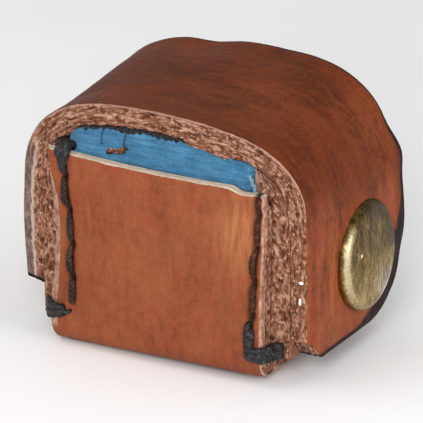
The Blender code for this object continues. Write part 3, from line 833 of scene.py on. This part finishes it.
def make_toe_piece(material):
    """The front panel and the sole in one; u runs down the panel and back along the sole."""
    bend_length = TOE_BEND * math.pi / 2
    straight = TOE_TOP - TOE_BEND
    flat_end = SOLE_END - (PANEL_Y + TOE_BEND)
    length = straight + bend_length + flat_end
    u_line = fine_ends(length, 0.145, 0.35)
    v_line = fine_ends(2.0, 0.0135, 0.032) - 1.0
    v = np.broadcast_to(v_line * TOE_HALF, (len(u_line), len(v_line)))

    def top_line(v):
        """The top edge dips in the middle, and steps down at the right-hand corner."""
        return 0.30 * (1 - (v / TOE_HALF) ** 2) + 0.45 * smooth(7.3, 8.8, v)

    dip = top_line(v)
    u = dip + u_line[:, None] / length * (length - dip)

    def edge(u, v):
        return rounded_edge(u, v, top_line(v), length, -TOE_HALF, TOE_HALF, (0.4, 0.6, 2.0, 2.0))

    def place(u, v, w):
        depth = TOE_THICK / 2 - w
        angle = np.clip((u - straight) / TOE_BEND, 0, math.pi / 2)
        down = np.clip(u, None, straight)
        back = np.clip(u - straight - bend_length, 0, None)
        z = TOE_TOP - down - (TOE_BEND - depth) * np.sin(angle)
        y_flat = TOE_BEND - (TOE_BEND - depth) * np.cos(angle) + back
        z = np.where(angle >= math.pi / 2, depth, z)
        x = v / TOE_HALF * np.where(v < 0, toe_side(-1, z), toe_side(1, z))
        upright = smooth(math.pi / 2, 0, angle)
        y = PANEL_Y + y_flat + upright * (panel_face(x, z) - PANEL_Y)
        # the bend hangs lower on the left, and the sole's edges lift a little
        tilt = (0.022 * x - 0.05) * (1 - smooth(0, 7, z)) * (1 - smooth(0, 6, y - PANEL_Y))
        lift = 0.35 * bell(np.abs(x) - TOE_HALF, 1.3) * smooth(0, 4, y - PANEL_Y)
        z = z + tilt + lift * (1 - smooth(0, 4, z))
        return stack(x, y, z)

    def surface(u, v, sign):
        p = stack(u, v, sign + 0 * u)
        if sign > 0:
            skived = 1 - smooth(0.0, bevel_width(u) + 0.1, v + TOE_HALF)
            return 0.02 * rough(p, 0.8, 3, 41) - 0.30 * skived * (1 - smooth(12, 16, u))
        # pared thin behind the top edge
        return 0.05 * rough(p, 0.8, 3, 41) - 1.0 * (1 - smooth(0.4, 2.6, u - top_line(v)))

    def bevel_width(u):
        """The left edge's bevel widens downwards."""
        return 0.35 + 0.65 * smooth(1.2, 5.0, u)

    def bevel(u, v, w):
        """The rosy layer that skiving has bared along the panel's side edges."""
        p = stack(u, v, w)
        wander = 0.10 * noise(p, 1.5, 43)
        on_panel_part = 1 - smooth(straight - 0.5, straight + 1.5, u)
        width = bevel_width(u)
        left = 1 - smooth(width - 0.25, width, v + TOE_HALF + wander)
        right = 1 - smooth(0.12, 0.32, TOE_HALF - v + wander)
        left, right = left * smooth(-0.8, -0.3, w), right * smooth(0.05, 0.45, w)
        return np.maximum(left, right) * on_panel_part

    def pared(u, v, w):
        """The pale line along the top edge."""
        return 1 - smooth(0.05, 0.26, u - top_line(v) + 0.10 * noise(stack(u, v, w), 1.5, 43))

    def painted_highlight(u, v, w):
        """The panel's upper right corner is a painted highlight, lighter orange."""
        return 0.95 * bell(u - 4.2, 3.4) * bell(v - 8.6, 2.2)

    def stain_and_shade(u, v, w):
        """Wax from the thread darkens the stitch lines, a painted shadow of the left thread darkens
        the strip beside it, and the bend's edge is darker.
        """
        p = stack(u, v, w)
        z = TOE_TOP - u
        marks = 0 * u
        for side in (-1, 1):
            line = seam_x(side, z) * TOE_HALF / toe_side(side, z)
            width = 0.44 + 0.14 * noise(p, 1.2, 45 + side)
            foot = smooth(2.2, 3.4, z) if side > 0 else smooth(3.4, 4.4, z)
            marks = np.maximum(marks, bell(v - line, width) * foot)
        # painted shadow of the left seam's thread, on the strip just outside it
        beside = bell(v + TOE_HALF - 1.55, 0.45) * (1 - smooth(9, 13, z)) * smooth(2.2, 3.4, z)
        under = bell(u - straight - 2.7, 0.7)
        return np.maximum(np.maximum(0.85 * marks, 0.40 * beside), 0.55 * under)

    toe = slab("leather_toe_piece", u, v, place, edge, TOE_THICK, 0.35, surface,
               shag(0.07, (0.8, 0.8, 0.3), 47, -0.02),
               marks={"bevel": bevel, "pared": pared, "stain_and_shade": stain_and_shade, "painted_highlight": painted_highlight,
                      "grain_side": lambda u, v, w: w})
    return finish_piece(toe, material, "toe_leather", "toe_piece")


def make_side_wall(side, name, material):
    """The second layer inside one leg of the band; u runs up it, and w outwards."""
    top = WALL_TOPS[side]
    low, high = 0.0, top - WALL_FOOT
    u_line = fine_ends(high, 0.15, 0.3)
    v_line = fine_ends(WALL_DEPTH, 0.16, 0.3)
    u, v = np.meshgrid(u_line, v_line, indexing="ij")
    start = round_off(WALL_DEPTH - v, WALL_CORNER)
    u = start + u / high * (high - start)
    thick = WALL_OUTSIDE - WALL_INSIDE

    def edge(u, v):
        return rounded_edge(u, v, low, high, 0, WALL_DEPTH, (0, WALL_CORNER, 0.5, 0.5))

    def place(u, v, w):
        z = WALL_FOOT + u
        reach = WALL_INSIDE + 1.2 * (thick / 2 + w)
        reach = np.minimum(reach, wall_limit(z, side) - (thick / 2 - w) * 0.02 + 0.12)
        if side > 0:
            reach = reach - welt(z, v) * np.clip(0.5 - w / thick, 0, 1)
            ceiling = crown_underside(reach) - 0.04 - top
            z = z + np.clip(ceiling, 0, None) * welt(z, v) / WELT * smooth(TOE_TOP, top, z)
        return stack(side * reach, v + 0.08 * noise(stack(u, v, 0 * u), 3.0, 51), z)

    wall = slab("leather_" + name, u, v, place, edge, thick, 0.06, shag(0.05, 0.6, 53),
                shag(0.18, (0.7, 0.7, 0.35), 57 + side),
                marks={"grain_side": lambda u, v, w: -w})
    return finish_piece(wall, material, "wall_leather", name)


# ---- Felt ----
def make_liner_tip(material):
    """The felt across the front, behind the panel; u runs up it from the sole."""
    half = WALL_INSIDE - 0.05
    v_line = fine_ends(2 * half, 0.09, 0.3) - half
    u_line = fine_ends(1.0, 0.01, 0.02)
    low = WALL_FOOT + 0.2

    def height(v):
        """The top edge is nibbled where it meets the crown's left half."""
        nibble = 0.14 * np.abs(np.sin(v * math.pi / 0.62)) * smooth(-9.0, -7.5, v)
        nibble = nibble * (1 - smooth(1.2, 2.2, v))
        return crown_underside(v) - 0.14 - nibble - low

    top = height(v_line)
    v = np.broadcast_to(v_line, (len(u_line), len(v_line)))
    u = u_line[:, None] * top

    def edge(u, v):
        return rounded_edge(u, v, 0, height(v), -half, half, (1.0, 1.0, 0, 0))

    def place(u, v, w):
        z = low + u
        sag = np.clip(0.2 * noise(stack(u, v, 0 * u), 4.5, 61), 0, None)
        lean = 1.0 * bell(z - 18.0, 1.1) * smooth(0, 1.2, half - np.abs(v))
        fold = 0.10 * bell(z - 19.0 + 0.02 * v, 0.16) * (1 - smooth(-7, 2, v) * 0.5)
        x = v - welt(z, 0) * smooth(half - 2.6, half, v)
        rise = (crown_underside(x) - crown_underside(v)) * smooth(TOE_TOP, top.min() + low, z)
        return stack(x, 0.15 + FELT / 2 - w + sag - lean + fold, z + rise)

    def scallop_darkening(u, v, w):
        """Near-black scallops, where the felt meets the crown's left half."""
        p = stack(u, v, w)
        scallop = 0.13 * np.abs(np.sin(v * math.pi / 0.92 + 0.4)) + 0.20 * noise(p, 0.7, 69)
        span = smooth(-9.2, -8.2, v) * (1 - smooth(1.7, 2.3, v))
        return span * (1 - smooth(0.17, 0.30, height(v) - u + scallop))

    tip = slab("felt_liner_tip", u, v, place, edge, FELT, 0.18, shag(0.05, 0.35, 63),
               shag(0.10, 0.3, 67), rim_rows=8, marks={"stain_and_shade": scallop_darkening})
    return finish_piece(tip, material, "liner_felt", "liner_tip")


def make_liner_wrap(material):
    """The felt that is folded once around the finger; u counts points around it."""
    half = WALL_INSIDE - 0.1
    inset, centre_z = half - WRAP_CORNER, WALL_FOOT + WRAP_CORNER
    turns = np.linspace(0, math.pi / 2, 14)
    outline = [(x, crown_underside(x) - 0.15) for x in np.linspace(-half, half, 60)]
    outline += [(inset + WRAP_CORNER * math.cos(a), centre_z - WRAP_CORNER * math.sin(a))
                for a in turns]
    outline += [(-inset - WRAP_CORNER * math.sin(a), centre_z - WRAP_CORNER * math.cos(a))
                for a in turns]
    ring, _, around = even_points(np.array(outline + outline[:1]), WRAP_POINTS, endpoint=False)
    for _ in range(6):
        ring = (ring + np.roll(ring, 1, 0) + np.roll(ring, -1, 0)) / 3
    tangent = np.roll(ring, -1, 0) - np.roll(ring, 1, 0)
    tangent /= np.hypot(*tangent.T)[:, None]
    inwards = stack(tangent[:, 1], 0.0, -tangent[:, 0])
    start, stop = WRAP_LOW[1] - ORIGIN[1], WRAP_HIGH[1] - ORIGIN[1]
    v_line = start + fine_ends(stop - start, 0.22, 0.3)
    u, v = np.meshgrid(np.arange(float(WRAP_POINTS)), v_line, indexing="ij")

    def edge(u, v):
        return np.minimum(v - start, stop - v)

    def on_ring(u, y):
        """The number and the place of the ring's point u, at y."""
        at = np.round(u).astype(int) % WRAP_POINTS
        return at, stack(ring[at, 0], y, ring[at, 1])

    def place(u, v, w):
        at, p = on_ring(u, v)
        depth = FELT / 2 - w + 0.10 * np.clip(noise(p, 3.0, 71), 0, None)
        p[..., 1] += 0.12 * noise(p, 2.5, 73) * smooth(stop - 3, stop, v)
        return p + inwards[at] * depth[..., None]

    def surface(u, v, sign):
        return 0.05 * rough(on_ring(u, v)[1], 0.35, 3, 77)

    def fray(u, v, w):
        return 0.08 * rough(on_ring(u, w)[1], 0.3, 3, 79)

    wrap = slab("felt_liner_wrap", u, v, place, edge, FELT, 0.25, surface, fray, closed=True,
                rim_rows=8)
    return finish_piece(wrap, material, "liner_felt", "liner_wrap")


def lumpy_blobs(blobs, relief):
    """Points, faces and flat-sheet positions of knobbly blobs, each (centre, size, seed)."""
    points, faces, sheet, base = [], [], [], 0
    for centre, size, seed in blobs:
        shape = bmesh.new()
        bmesh.ops.create_icosphere(shape, subdivisions=5, radius=1.0)
        unit = np.array([vert.co for vert in shape.verts])
        faces += [tuple(base + vert.index for vert in face.verts) for face in shape.faces]
        shape.free()
        part = unit * np.array(size) * (1 + relief * rough(unit, 0.9, 4, 80 + seed)[:, None])
        points.append(part + np.array(centre))
        sheet.append(part * 1.3 + 40 + seed)
        base += len(part)
    return np.concatenate(points), faces, np.concatenate(sheet)


def make_slit_scrap(material):
    """A loose shred of leather caught on the felt: a few curled fibres."""
    points, faces, sheet = lumpy_blobs(
        (((-0.72, 0.0, -0.02), (0.42, 0.30, 0.27), 1), ((0.05, -0.05, 0.05), (0.75, 0.24, 0.18), 2),
         ((0.62, 0.05, 0.20), (0.50, 0.22, 0.18), 3), ((0.35, 0.0, -0.12), (0.45, 0.16, 0.10), 4)),
        0.50)
    points[:, 2] += 0.16 * points[:, 0]
    points += np.array((-4.75, -0.55, 18.95))
    # painted shade on the scrap's right end and underside
    painted_shade = np.maximum(smooth(-4.4, -3.9, points[:, 0]), 1 - smooth(18.72, 18.90, points[:, 2]))
    scrap = make_mesh("leather_slit_scrap", points, faces,
                      {"sheet": sheet, "cut": np.ones(len(points)), "stain_and_shade": 0.75 * painted_shade})
    return finish_piece(scrap, material, "wall_leather")


def make_corner_tuft(material):
    """Bleached felt that pokes out over the panel's right-hand corner."""
    rng = np.random.default_rng(5)
    blobs = []
    for k in range(9):
        height = -0.75 + 0.18 * k
        centre = (0.30 - 0.16 * k / 2 + rng.uniform(-0.10, 0.10), rng.uniform(-0.1, 0.1), height)
        blobs.append((centre, (rng.uniform(0.09, 0.17), 0.12, rng.uniform(0.14, 0.26)), 11 + k))
    points, faces, _ = lumpy_blobs(blobs, 0.60)
    points += np.array((9.45, -1.10, 18.65))
    tuft = make_mesh("felt_corner_tuft", points, faces, {"bleached": np.full(len(points), 0.42)})
    return finish_piece(tuft, material, "liner_felt")


def make_wax_highlight_drops(material):
    """Two white drops on the cut edge of the right leg: painted highlights, shaped as drops of wax.
    """
    points, faces, _ = lumpy_blobs(
        (((13.73, -0.10, 9.84), (0.22, 0.12, 0.16), 21),
         ((13.63, -0.10, 8.00), (0.13, 0.12, 0.34), 22)), 0.35)
    drops = make_mesh("wax_highlight_drops", points, faces)
    return finish_piece(drops, material, "waxed_thread")


def make_slit_fibres(material):
    """Two short threads pulled down over the felt."""
    ropes = []
    for x, top, low in ((-6.45, 20.95, 19.45), (-4.1, 21.2, 19.35)):
        route = [(x, 0.35, top), (x + 0.03, -0.02, top - 0.35), (x - 0.04, -0.30, (top + low) / 2),
                 (x + 0.05, -0.62, low), (x + 0.08, -0.35, low - 0.12)]
        ropes.append(rope(route, radius=0.070, plies=2, lay=0.5))
    return finish_piece(join_ropes("thread_slit_fibres", ropes), material, "waxed_thread")


# ---- Thread ----
def smooth_route(points, spacing=0.12):
    """Evenly spaced points on a Catmull-Rom curve through the points, and how far along."""
    p = np.array(points, float)
    p = np.concatenate([[2 * p[0] - p[1]], p, [2 * p[-1] - p[-2]]])
    pieces = []
    t = np.linspace(0, 1, 24, endpoint=False)[:, None]
    for a, b, c, d in zip(p, p[1:], p[2:], p[3:]):
        pieces.append(0.5 * (2 * b + (c - a) * t + (2 * a - 5 * b + 4 * c - d) * t ** 2
                             + (3 * b - a - 3 * c + d) * t ** 3))
    return even_points(np.concatenate(pieces + [p[-2:-1]]), spacing=spacing)[:2]


def frames(line):
    """Two directions square to the line, which turn as little as they can along it."""
    tangent = np.gradient(line, axis=0)
    tangent /= np.linalg.norm(tangent, axis=1)[:, None]
    first = np.cross(tangent[0], (0.31, 0.17, 0.93))
    first /= np.linalg.norm(first)
    sides = [first]
    for t in tangent[1:]:
        side = sides[-1] - t * np.dot(sides[-1], t)
        sides.append(side / np.linalg.norm(side))
    sides = np.array(sides)
    return sides, np.cross(tangent, sides)


def rope(points, radius=THREAD, plies=3, lay=1.4, phase=0.0, swell=0.0):
    """Points and faces of a twisted thread along a route, thicker in the middle by swell."""
    line, along = smooth_route(points)
    side, other = frames(line)
    ply = radius * 0.64
    sections = 8
    ring = np.linspace(0, 2 * math.pi, sections, endpoint=False)
    all_points, faces = [], []
    ends = np.minimum(along, along[-1] - along)
    taper = 0.55 + 0.45 * smooth(0, radius * 1.5, ends)[:, None]
    taper = taper * (1 + swell * (1 - 2 * np.cos(math.pi * along / along[-1]) ** 2))[:, None]
    for k in range(plies):
        turn = (phase + 2 * math.pi * (k / plies + along / lay))[:, None]
        centre = line + (radius - ply) * taper * (side * np.cos(turn) + other * np.sin(turn))
        rings = [centre + ply * taper * (side * math.cos(a) + other * math.sin(a)) for a in ring]
        all_points.append(np.stack(rings, 1).reshape(-1, 3))
        base = k * len(line) * sections
        faces += grid_faces(len(line), sections, base, ring_of_columns=True)
        for end in (base, base + (len(line) - 1) * sections):
            faces.append(tuple(range(end, end + sections)))
    return np.concatenate(all_points), faces


def join_ropes(name, ropes, melt=0.0):
    """One mesh from several ropes; melt is the grain that they are fused into a lump with."""
    faces, base = [], 0
    for points, rope_faces in ropes:
        faces += [tuple(base + k for k in face) for face in rope_faces]
        base += len(points)
    made = make_mesh(name, np.concatenate([points for points, _ in ropes]), faces)
    if melt:
        lump_rise, lump_size = 0.09, 0.55
        remesh = made.modifiers.new("fuse", 'REMESH')
        remesh.mode = 'VOXEL'
        remesh.voxel_size = melt * MM
        soften = made.modifiers.new("soften", 'SMOOTH')
        soften.factor = 0.5
        soften.iterations = 5
        depsgraph = bpy.context.evaluated_depsgraph_get()
        fused = bpy.data.meshes.new_from_object(made.evaluated_get(depsgraph))
        made.modifiers.clear()
        made.data = fused
        # let the wax set in small lumps
        spots = np.array([vert.co for vert in fused.vertices]) / MM
        normals = np.array([vert.normal for vert in fused.vertices])
        uneven = lump_rise * rough(spots, lump_size, 3, 97)[:, None]
        fused.vertices.foreach_set("co", ((spots + normals * uneven) * MM).ravel())
        fused.shade_smooth()
    return made


def on_panel(x, z, out=0.0):
    """A point out from the panel's face."""
    return (x, float(panel_face(np.array(x), np.array(z))) - out, z)


def make_front_seam(side, name, material):
    """Stitches from hole to hole down the panel's edge."""
    ropes = []
    holes = STITCH_HOLES + ((3.9,) if side < 0 else ())
    for k, (upper, lower) in enumerate(zip(holes, holes[1:])):
        lean = 0.12 * side * (-1) ** k
        xu, xl = float(seam_x(side, upper)), float(seam_x(side, lower))
        middle = (upper + lower) / 2
        route = [(xu, PANEL_Y + 1.3, upper - 0.25),
                 on_panel(xu + lean * 0.5, upper - 0.35, 0.0),
                 on_panel((xu + xl) / 2 + lean, middle + 0.6, THREAD * 0.7),
                 on_panel((xu + xl) / 2 + lean, middle - 0.6, THREAD * 0.7),
                 on_panel(xl - lean * 0.3, lower + 0.35, 0.0),
                 (xl, PANEL_Y + 1.3, lower + 0.25)]
        ropes.append(rope(route, radius=0.31 if side < 0 else 0.27, phase=k * 1.1, swell=0.25))
    seam = join_ropes("thread_" + name, ropes)
    return finish_piece(seam, material, "waxed_thread", name)


def make_sole_seam(side, name, material):
    """Stitches sunk in a groove near the sole's edge."""
    low, high = node_box(name)
    first, last = low[1] - ORIGIN[1] + 0.3, high[1] - ORIGIN[1] - 0.3
    x = side * (TOE_HALF - 1.05)
    holes = np.linspace(first, last, SOLE_STITCHES + 1)
    ropes = []
    for k, (a, b) in enumerate(zip(holes, holes[1:])):
        route = [(x, a + 0.3, 1.6), (x, a + 0.4, 0.55), (x, (a + b) / 2, 0.35),
                 (x, b - 0.4, 0.55), (x, b - 0.3, 1.6)]
        ropes.append(rope(route, radius=0.3, phase=k * 0.9))
    seam = join_ropes("thread_" + name, ropes)
    return finish_piece(seam, material, "waxed_thread", name)


def make_lower_tack(side, name, material):
    """Wraps around the panel's bottom corner and over the wall's cut edge."""
    rng = np.random.default_rng(7 if side > 0 else 9)
    edge_x = side * float(toe_side(side, 3.0))
    hole_z = 3.3
    hole_x = float(seam_x(side, hole_z)) - (0.85 if side < 0 else 0)
    on_wall = side * (WALL_OUTSIDE - (0.45 if side > 0 else 1.1))
    ropes = []
    for k in range(4):
        z = 2.30 + 0.40 * k if side > 0 else 2.45 + 0.48 * k
        back_z = z if side > 0 else 2.25 + 0.24 * k
        jitter = rng.uniform(-0.10, 0.10, 6)
        out = THREAD * (0.75 + 0.5 * (k % 2))
        start = hole_z + (z - hole_z) * 0.45
        route = [(hole_x, PANEL_Y + 1.0, start),
                 on_panel(hole_x + side * 0.05 + jitter[0], start, out * 0.6),
                 on_panel((hole_x + edge_x) / 2, (start + z) / 2, out),
                 (edge_x + side * (0.02 + 0.1 * (k % 2)), PANEL_Y + 0.20, z + jitter[2]),
                 (edge_x + side * (0.28 + 0.1 * (k % 2)), PANEL_Y + 0.9,
                  (z + back_z) / 2 + jitter[3]),
                 (edge_x + side * 0.50, -0.45, back_z + jitter[4]),
                 (on_wall - side * 0.3, -0.30, back_z + jitter[5]),
                 (on_wall, 0.6, back_z)]
        ropes.append(rope(route, phase=k * 0.8))
    uprights = ((-0.20, 5.6, 0.33), (0.20, 4.9, 0.33)) if side > 0 else ()
    for k, (shift, rise, radius) in enumerate(uprights):
        x = float(seam_x(side, 4.0)) + side * shift
        route = [(x, PANEL_Y + 1.0, 2.4), on_panel(x, 2.6, 0.1),
                 on_panel(x - 0.05 * side, (2.6 + rise) / 2, radius * 0.8),
                 on_panel(x, rise, 0.05), (x, PANEL_Y + 1.0, rise + 0.2)]
        ropes.append(rope(route, radius=radius, phase=k * 1.7))
    if side < 0:
        # a thin arm runs out of the lump to the end of the seam
        route = [(hole_x - 0.3, PANEL_Y + 0.4, 3.0), on_panel(hole_x, 3.0, 0.12),
                 on_panel(hole_x + 0.5, 3.1, 0.16), on_panel(-8.95, 3.2, 0.10),
                 (-8.85, PANEL_Y + 0.8, 3.3)]
        ropes.append(rope(route, radius=0.22))
    tack = join_ropes("thread_" + name, ropes, melt=MELT_GRAIN)
    return finish_piece(tack, material, "waxed_thread", name)


def make_upper_tack(side, name, material):
    """Wraps over the panel's top corner: a lump on the left, one strand on the right."""
    if side < 0:
        top, radius = TOE_TOP - 0.05, THREAD
        wraps = ((-0.50, 17.7), (-0.15, 16.2), (0.22, 16.5), (0.54, 17.8))
    else:
        top, radius = TOE_TOP - 0.62, 0.22
        wraps = ((0.0, 16.3),)
    ropes = []
    for k, (offset, hole) in enumerate(wraps):
        x = float(seam_x(side, 17.0)) + side * offset
        start = float(seam_x(side, hole)) + side * offset * 0.6
        rise = 0.50 + 0.10 * (k % 2) if side < 0 else 0.25
        route = [(start, PANEL_Y + 1.0, hole), on_panel(start, hole + 0.15, 0.10),
                 on_panel(x, (hole + top) / 2 + 0.2, radius * 0.8),
                 (x, float(panel_face(np.array(x), np.array(top))) - 0.05, top + 0.05),
                 (x + side * 0.1, PANEL_Y + 0.8, top + rise),
                 (x + side * 0.15, PANEL_Y + 1.5, top + 0.05),
                 (x + side * 0.15, PANEL_Y + 1.8, top - 1.2)]
        if side > 0:
            route[3:] = [on_panel(x + 0.12, top - 0.35, 0.10), (x + 0.2, PANEL_Y + 0.9, top - 0.20)]
        ropes.append(rope(route, radius=radius, phase=k * 1.3))
    tack = join_ropes("thread_" + name, ropes, melt=MELT_GRAIN if side < 0 else 0.0)
    return finish_piece(tack, material, "waxed_thread", name)


# ---- Brass ----
def make_pusher_cap(material):
    """A low dome with a round shoulder and an off-centre needle dimple, and its hollow stem."""
    radius, seat, steepest = PUSHER_RADIUS + 0.08, 0.04, math.radians(86)
    flat = radius - CAP_SHOULDER
    outer = np.linspace(0, flat, 40)
    crown = seat + CAP_SHOULDER * math.sin(steepest) + 0.12 * (1 - (outer / flat) ** 2)
    profile = list(zip(outer, crown))
    turns = np.linspace(steepest, math.radians(-20), 16)
    profile += [(flat + CAP_SHOULDER * math.cos(a), seat + CAP_SHOULDER * math.sin(a))
                for a in turns]
    on_top = len(profile)
    profile += [(radius - 0.35, 0.0), (2.2, 0.08), (1.8, -0.1), (1.8, -3.0), (1.25, -3.0),
                (1.25, 0.06), (0.0, 0.06)]
    profile = np.array(profile)
    rows, sections = len(profile), 160
    angles = np.linspace(0, 2 * math.pi, sections, endpoint=False)
    r, h = profile[:, :1], profile[:, 1:]
    y, z = r * np.cos(angles), r * np.sin(angles)
    head = (np.arange(rows) <= on_top)[:, None]
    points = stack(np.broadcast_to(h, y.shape), y, z)
    dents = 0.035 * rough(points, 1.6, 3, 91) + 0.010 * rough(points, 0.35, 3, 95)
    away = np.hypot(y - DIMPLE[0], z - DIMPLE[1])
    dents = dents - 0.24 * bell(away, 0.45) + 0.03 * bell(away - 0.70, 0.22)
    # a painted glint up and to the front of the dimple, also raised a little
    glint_spot = bell(np.hypot((y - DIMPLE[0] + 0.45) * 1.4, z - DIMPLE[1] - 0.75), 0.26)
    dents = (dents + 0.05 * glint_spot) * smooth(0, 0.4, radius - 0.1 - r)
    x = h + np.where((np.arange(rows) < on_top)[:, None], dents, 0)
    x = x - head * (CAP_TILT[0] * z + CAP_TILT[1] * y)
    points = stack(BAND_HALF + x, PUSHER_Y + CAP_SHIFT[0] + y, PUSHER_Z + CAP_SHIFT[1] + z)
    # the rim is worn bright only on the shoulder's front and lower side, where the light falls:
    # real wear and a painted highlight
    rubbed = smooth(flat - 0.10, flat + 0.40, r) * (1 - 0.7 * smooth(flat + 0.68, flat + 0.84, r))
    rubbed = rubbed * (1 - 0.8 * smooth(0.5, 4.0, z + 0.4 * y)) * (1 - 0.5 * smooth(-1.5, -4.5, z))
    rubbed = rubbed * (1 - 0.9 * smooth(0.5, 3.5, y))
    # painted shade on the cap's back edge and towards its top
    gloom = np.maximum(1.2 * bell(np.hypot(y - 4.9, 0.7 * z - 0.3), 2.0),
                       bell(np.hypot(y - 1.6, z - 4.7), 1.8))
    # painted reflection: a pale arc on the lower back shoulder and a pale patch on the lower back
    # face, taken away where the painted shade lies
    rim = smooth(flat - 0.4, flat + 0.2, r)
    rim = rim * bell(np.degrees(np.arctan2(z, y)) + 52, 42)
    painted_reflection_and_shade = (np.maximum(bell(np.hypot(y - 2.3, z + 3.3), 2.2), 1.5 * rim) - 0.9 * gloom) * head
    marks = {"worn": (0.8 * rubbed * head).ravel(), "glint_spot": (glint_spot * head).ravel(),
             "painted_reflection_and_shade": painted_reflection_and_shade.ravel()}
    cap = make_mesh("brass_pusher_cap", points.reshape(-1, 3),
                    grid_faces(rows, sections, ring_of_columns=True), marks, merge=0.0005)
    return finish_piece(cap, material, "brass", "pusher_cap")


# ---- Stage, light and camera ----
def view_direction(azimuth, elevation):
    """From the object towards a viewer; azimuth 0 looks along +y."""
    a, e = math.radians(azimuth), math.radians(elevation)
    return Vector((math.sin(a) * math.cos(e), -math.cos(a) * math.cos(e), math.sin(e)))


def add_light(name, azimuth, elevation, distance, size, power):
    """A soft white light that faces the object; distance and size are in millimetres."""
    data = bpy.data.lights.new(name, 'AREA')
    data.shape = 'RECTANGLE'
    data.size, data.size_y = (side * MM for side in size)
    data.energy = power
    made = bpy.data.objects.new(name, data)
    away = view_direction(azimuth, elevation)
    made.location = Vector(LIGHT_TARGET) * MM + away * distance * MM
    made.rotation_euler = away.to_track_quat('Z', 'Y').to_euler()
    bpy.context.scene.collection.objects.link(made)


def make_stage():
    """A pale floor, a white world and three soft lights."""
    bpy.ops.mesh.primitive_plane_add(size=8.0, location=(0, 0, FLOOR_Z * MM))
    floor = bpy.context.object
    floor.name = "studio_floor"
    s = Surface("pale_floor", Specular_IOR_Level=0.2)
    paper = s.noise(s.place(), 30.0, 2.0)
    floor.data.materials.append(
        s.finish(s.ramp(paper, (0.3, (0.95, 0.95, 0.95)), (0.7, (0.97, 0.97, 0.97))), 0.8))

    world = bpy.data.worlds.new("studio")
    bpy.context.scene.world = world
    world.use_nodes = True
    background = world.node_tree.nodes["Background"]
    background.inputs["Color"].default_value = (1.0, 1.0, 1.0, 1.0)
    background.inputs["Strength"].default_value = 0.55
    add_light("key_light", 20, 25, 300, (100, 180), 0.51)
    add_light("side_light", 78, 20, 300, (160, 140), 0.26)
    add_light("floor_light", -60, 60, 420, (240, 240), 0.30)


def make_camera():
    """The photo's view, from far away through a long lens."""
    data = bpy.data.cameras.new("camera")
    data.lens = VIEW_LENS
    data.sensor_width = 36.0
    data.clip_start, data.clip_end = 0.01, 20.0
    camera = bpy.data.objects.new("camera", data)
    away = view_direction(VIEW_AZIMUTH, VIEW_ELEVATION)
    distance = VIEW_WIDTH * MM * VIEW_LENS / data.sensor_width
    camera.location = Vector(VIEW_TARGET) * MM + away * distance
    camera.rotation_euler = away.to_track_quat('Z', 'Y').to_euler()
    bpy.context.scene.collection.objects.link(camera)
    bpy.context.scene.camera = camera
    bpy.context.scene.view_settings.view_transform = 'Standard'


# ---- The object ----
make_camera()
make_stage()

band_leather = leather("band_leather_brown", (0.107, 0.0182, 0.0022), (0.262, 0.063, 0.0225),
                       (0.373, 0.099, 0.0355), bright=(0.42, 0.125, 0.038), shaded=0.86)
toe_leather = leather("toe_leather_tan", (0.178, 0.042, 0.018), (0.262, 0.068, 0.0270),
                      (0.325, 0.094, 0.0365), bright=(0.45, 0.170, 0.066),
                      cream=(0.62, 0.50, 0.39))
wall_leather = leather("wall_leather_tan", (0.17, 0.060, 0.030), (0.27, 0.105, 0.055),
                       (0.38, 0.170, 0.100), bright=(0.42, 0.20, 0.12))
blue_felt = felt_material()
# the black thread's light, bluish patches are lighter wax and a painted highlight
black_thread = thread_material("black_waxed_thread", (0.007, 0.004, 0.004),
                               (0.011, 0.010, 0.011), (0.060, 0.064, 0.072), 0.38)
brown_thread = thread_material("brown_waxed_thread", (0.020, 0.007, 0.004),
                               (0.036, 0.014, 0.009), (0.085, 0.042, 0.030), 0.25)
russet_thread = thread_material("russet_waxed_thread", (0.036, 0.011, 0.006),
                                (0.068, 0.022, 0.012), (0.140, 0.058, 0.036), 0.15)
grey_fibre = thread_material("grey_fibre", (0.020, 0.040, 0.062), (0.045, 0.075, 0.105),
                             (0.110, 0.150, 0.180), 0.10)
white_wax_highlight = wax_highlight_material()
aged_brass = brass_material()

make_outer_band(band_leather)
make_toe_piece(toe_leather)
make_side_wall(-1, "left_side_wall", wall_leather)
make_side_wall(1, "right_side_wall", wall_leather)
make_liner_tip(blue_felt)
make_liner_wrap(blue_felt)
make_slit_scrap(wall_leather)
make_slit_fibres(grey_fibre)
make_corner_tuft(blue_felt)
make_wax_highlight_drops(white_wax_highlight)
for side, word in ((-1, "left"), (1, "right")):
    make_front_seam(side, word + "_front_seam", russet_thread if side > 0 else brown_thread)
    make_sole_seam(side, word + "_sole_seam", brown_thread)
    make_lower_tack(side, word + "_lower_tack", black_thread)
    make_upper_tack(side, word + "_upper_tack", russet_thread if side > 0 else black_thread)
make_pusher_cap(aged_brass)
for name in ("rivet_post", "rivet_washer"):
    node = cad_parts[name]
    for material_slot in node.material_slots:
        material_slot.material = aged_brass
    node.data.shade_smooth()
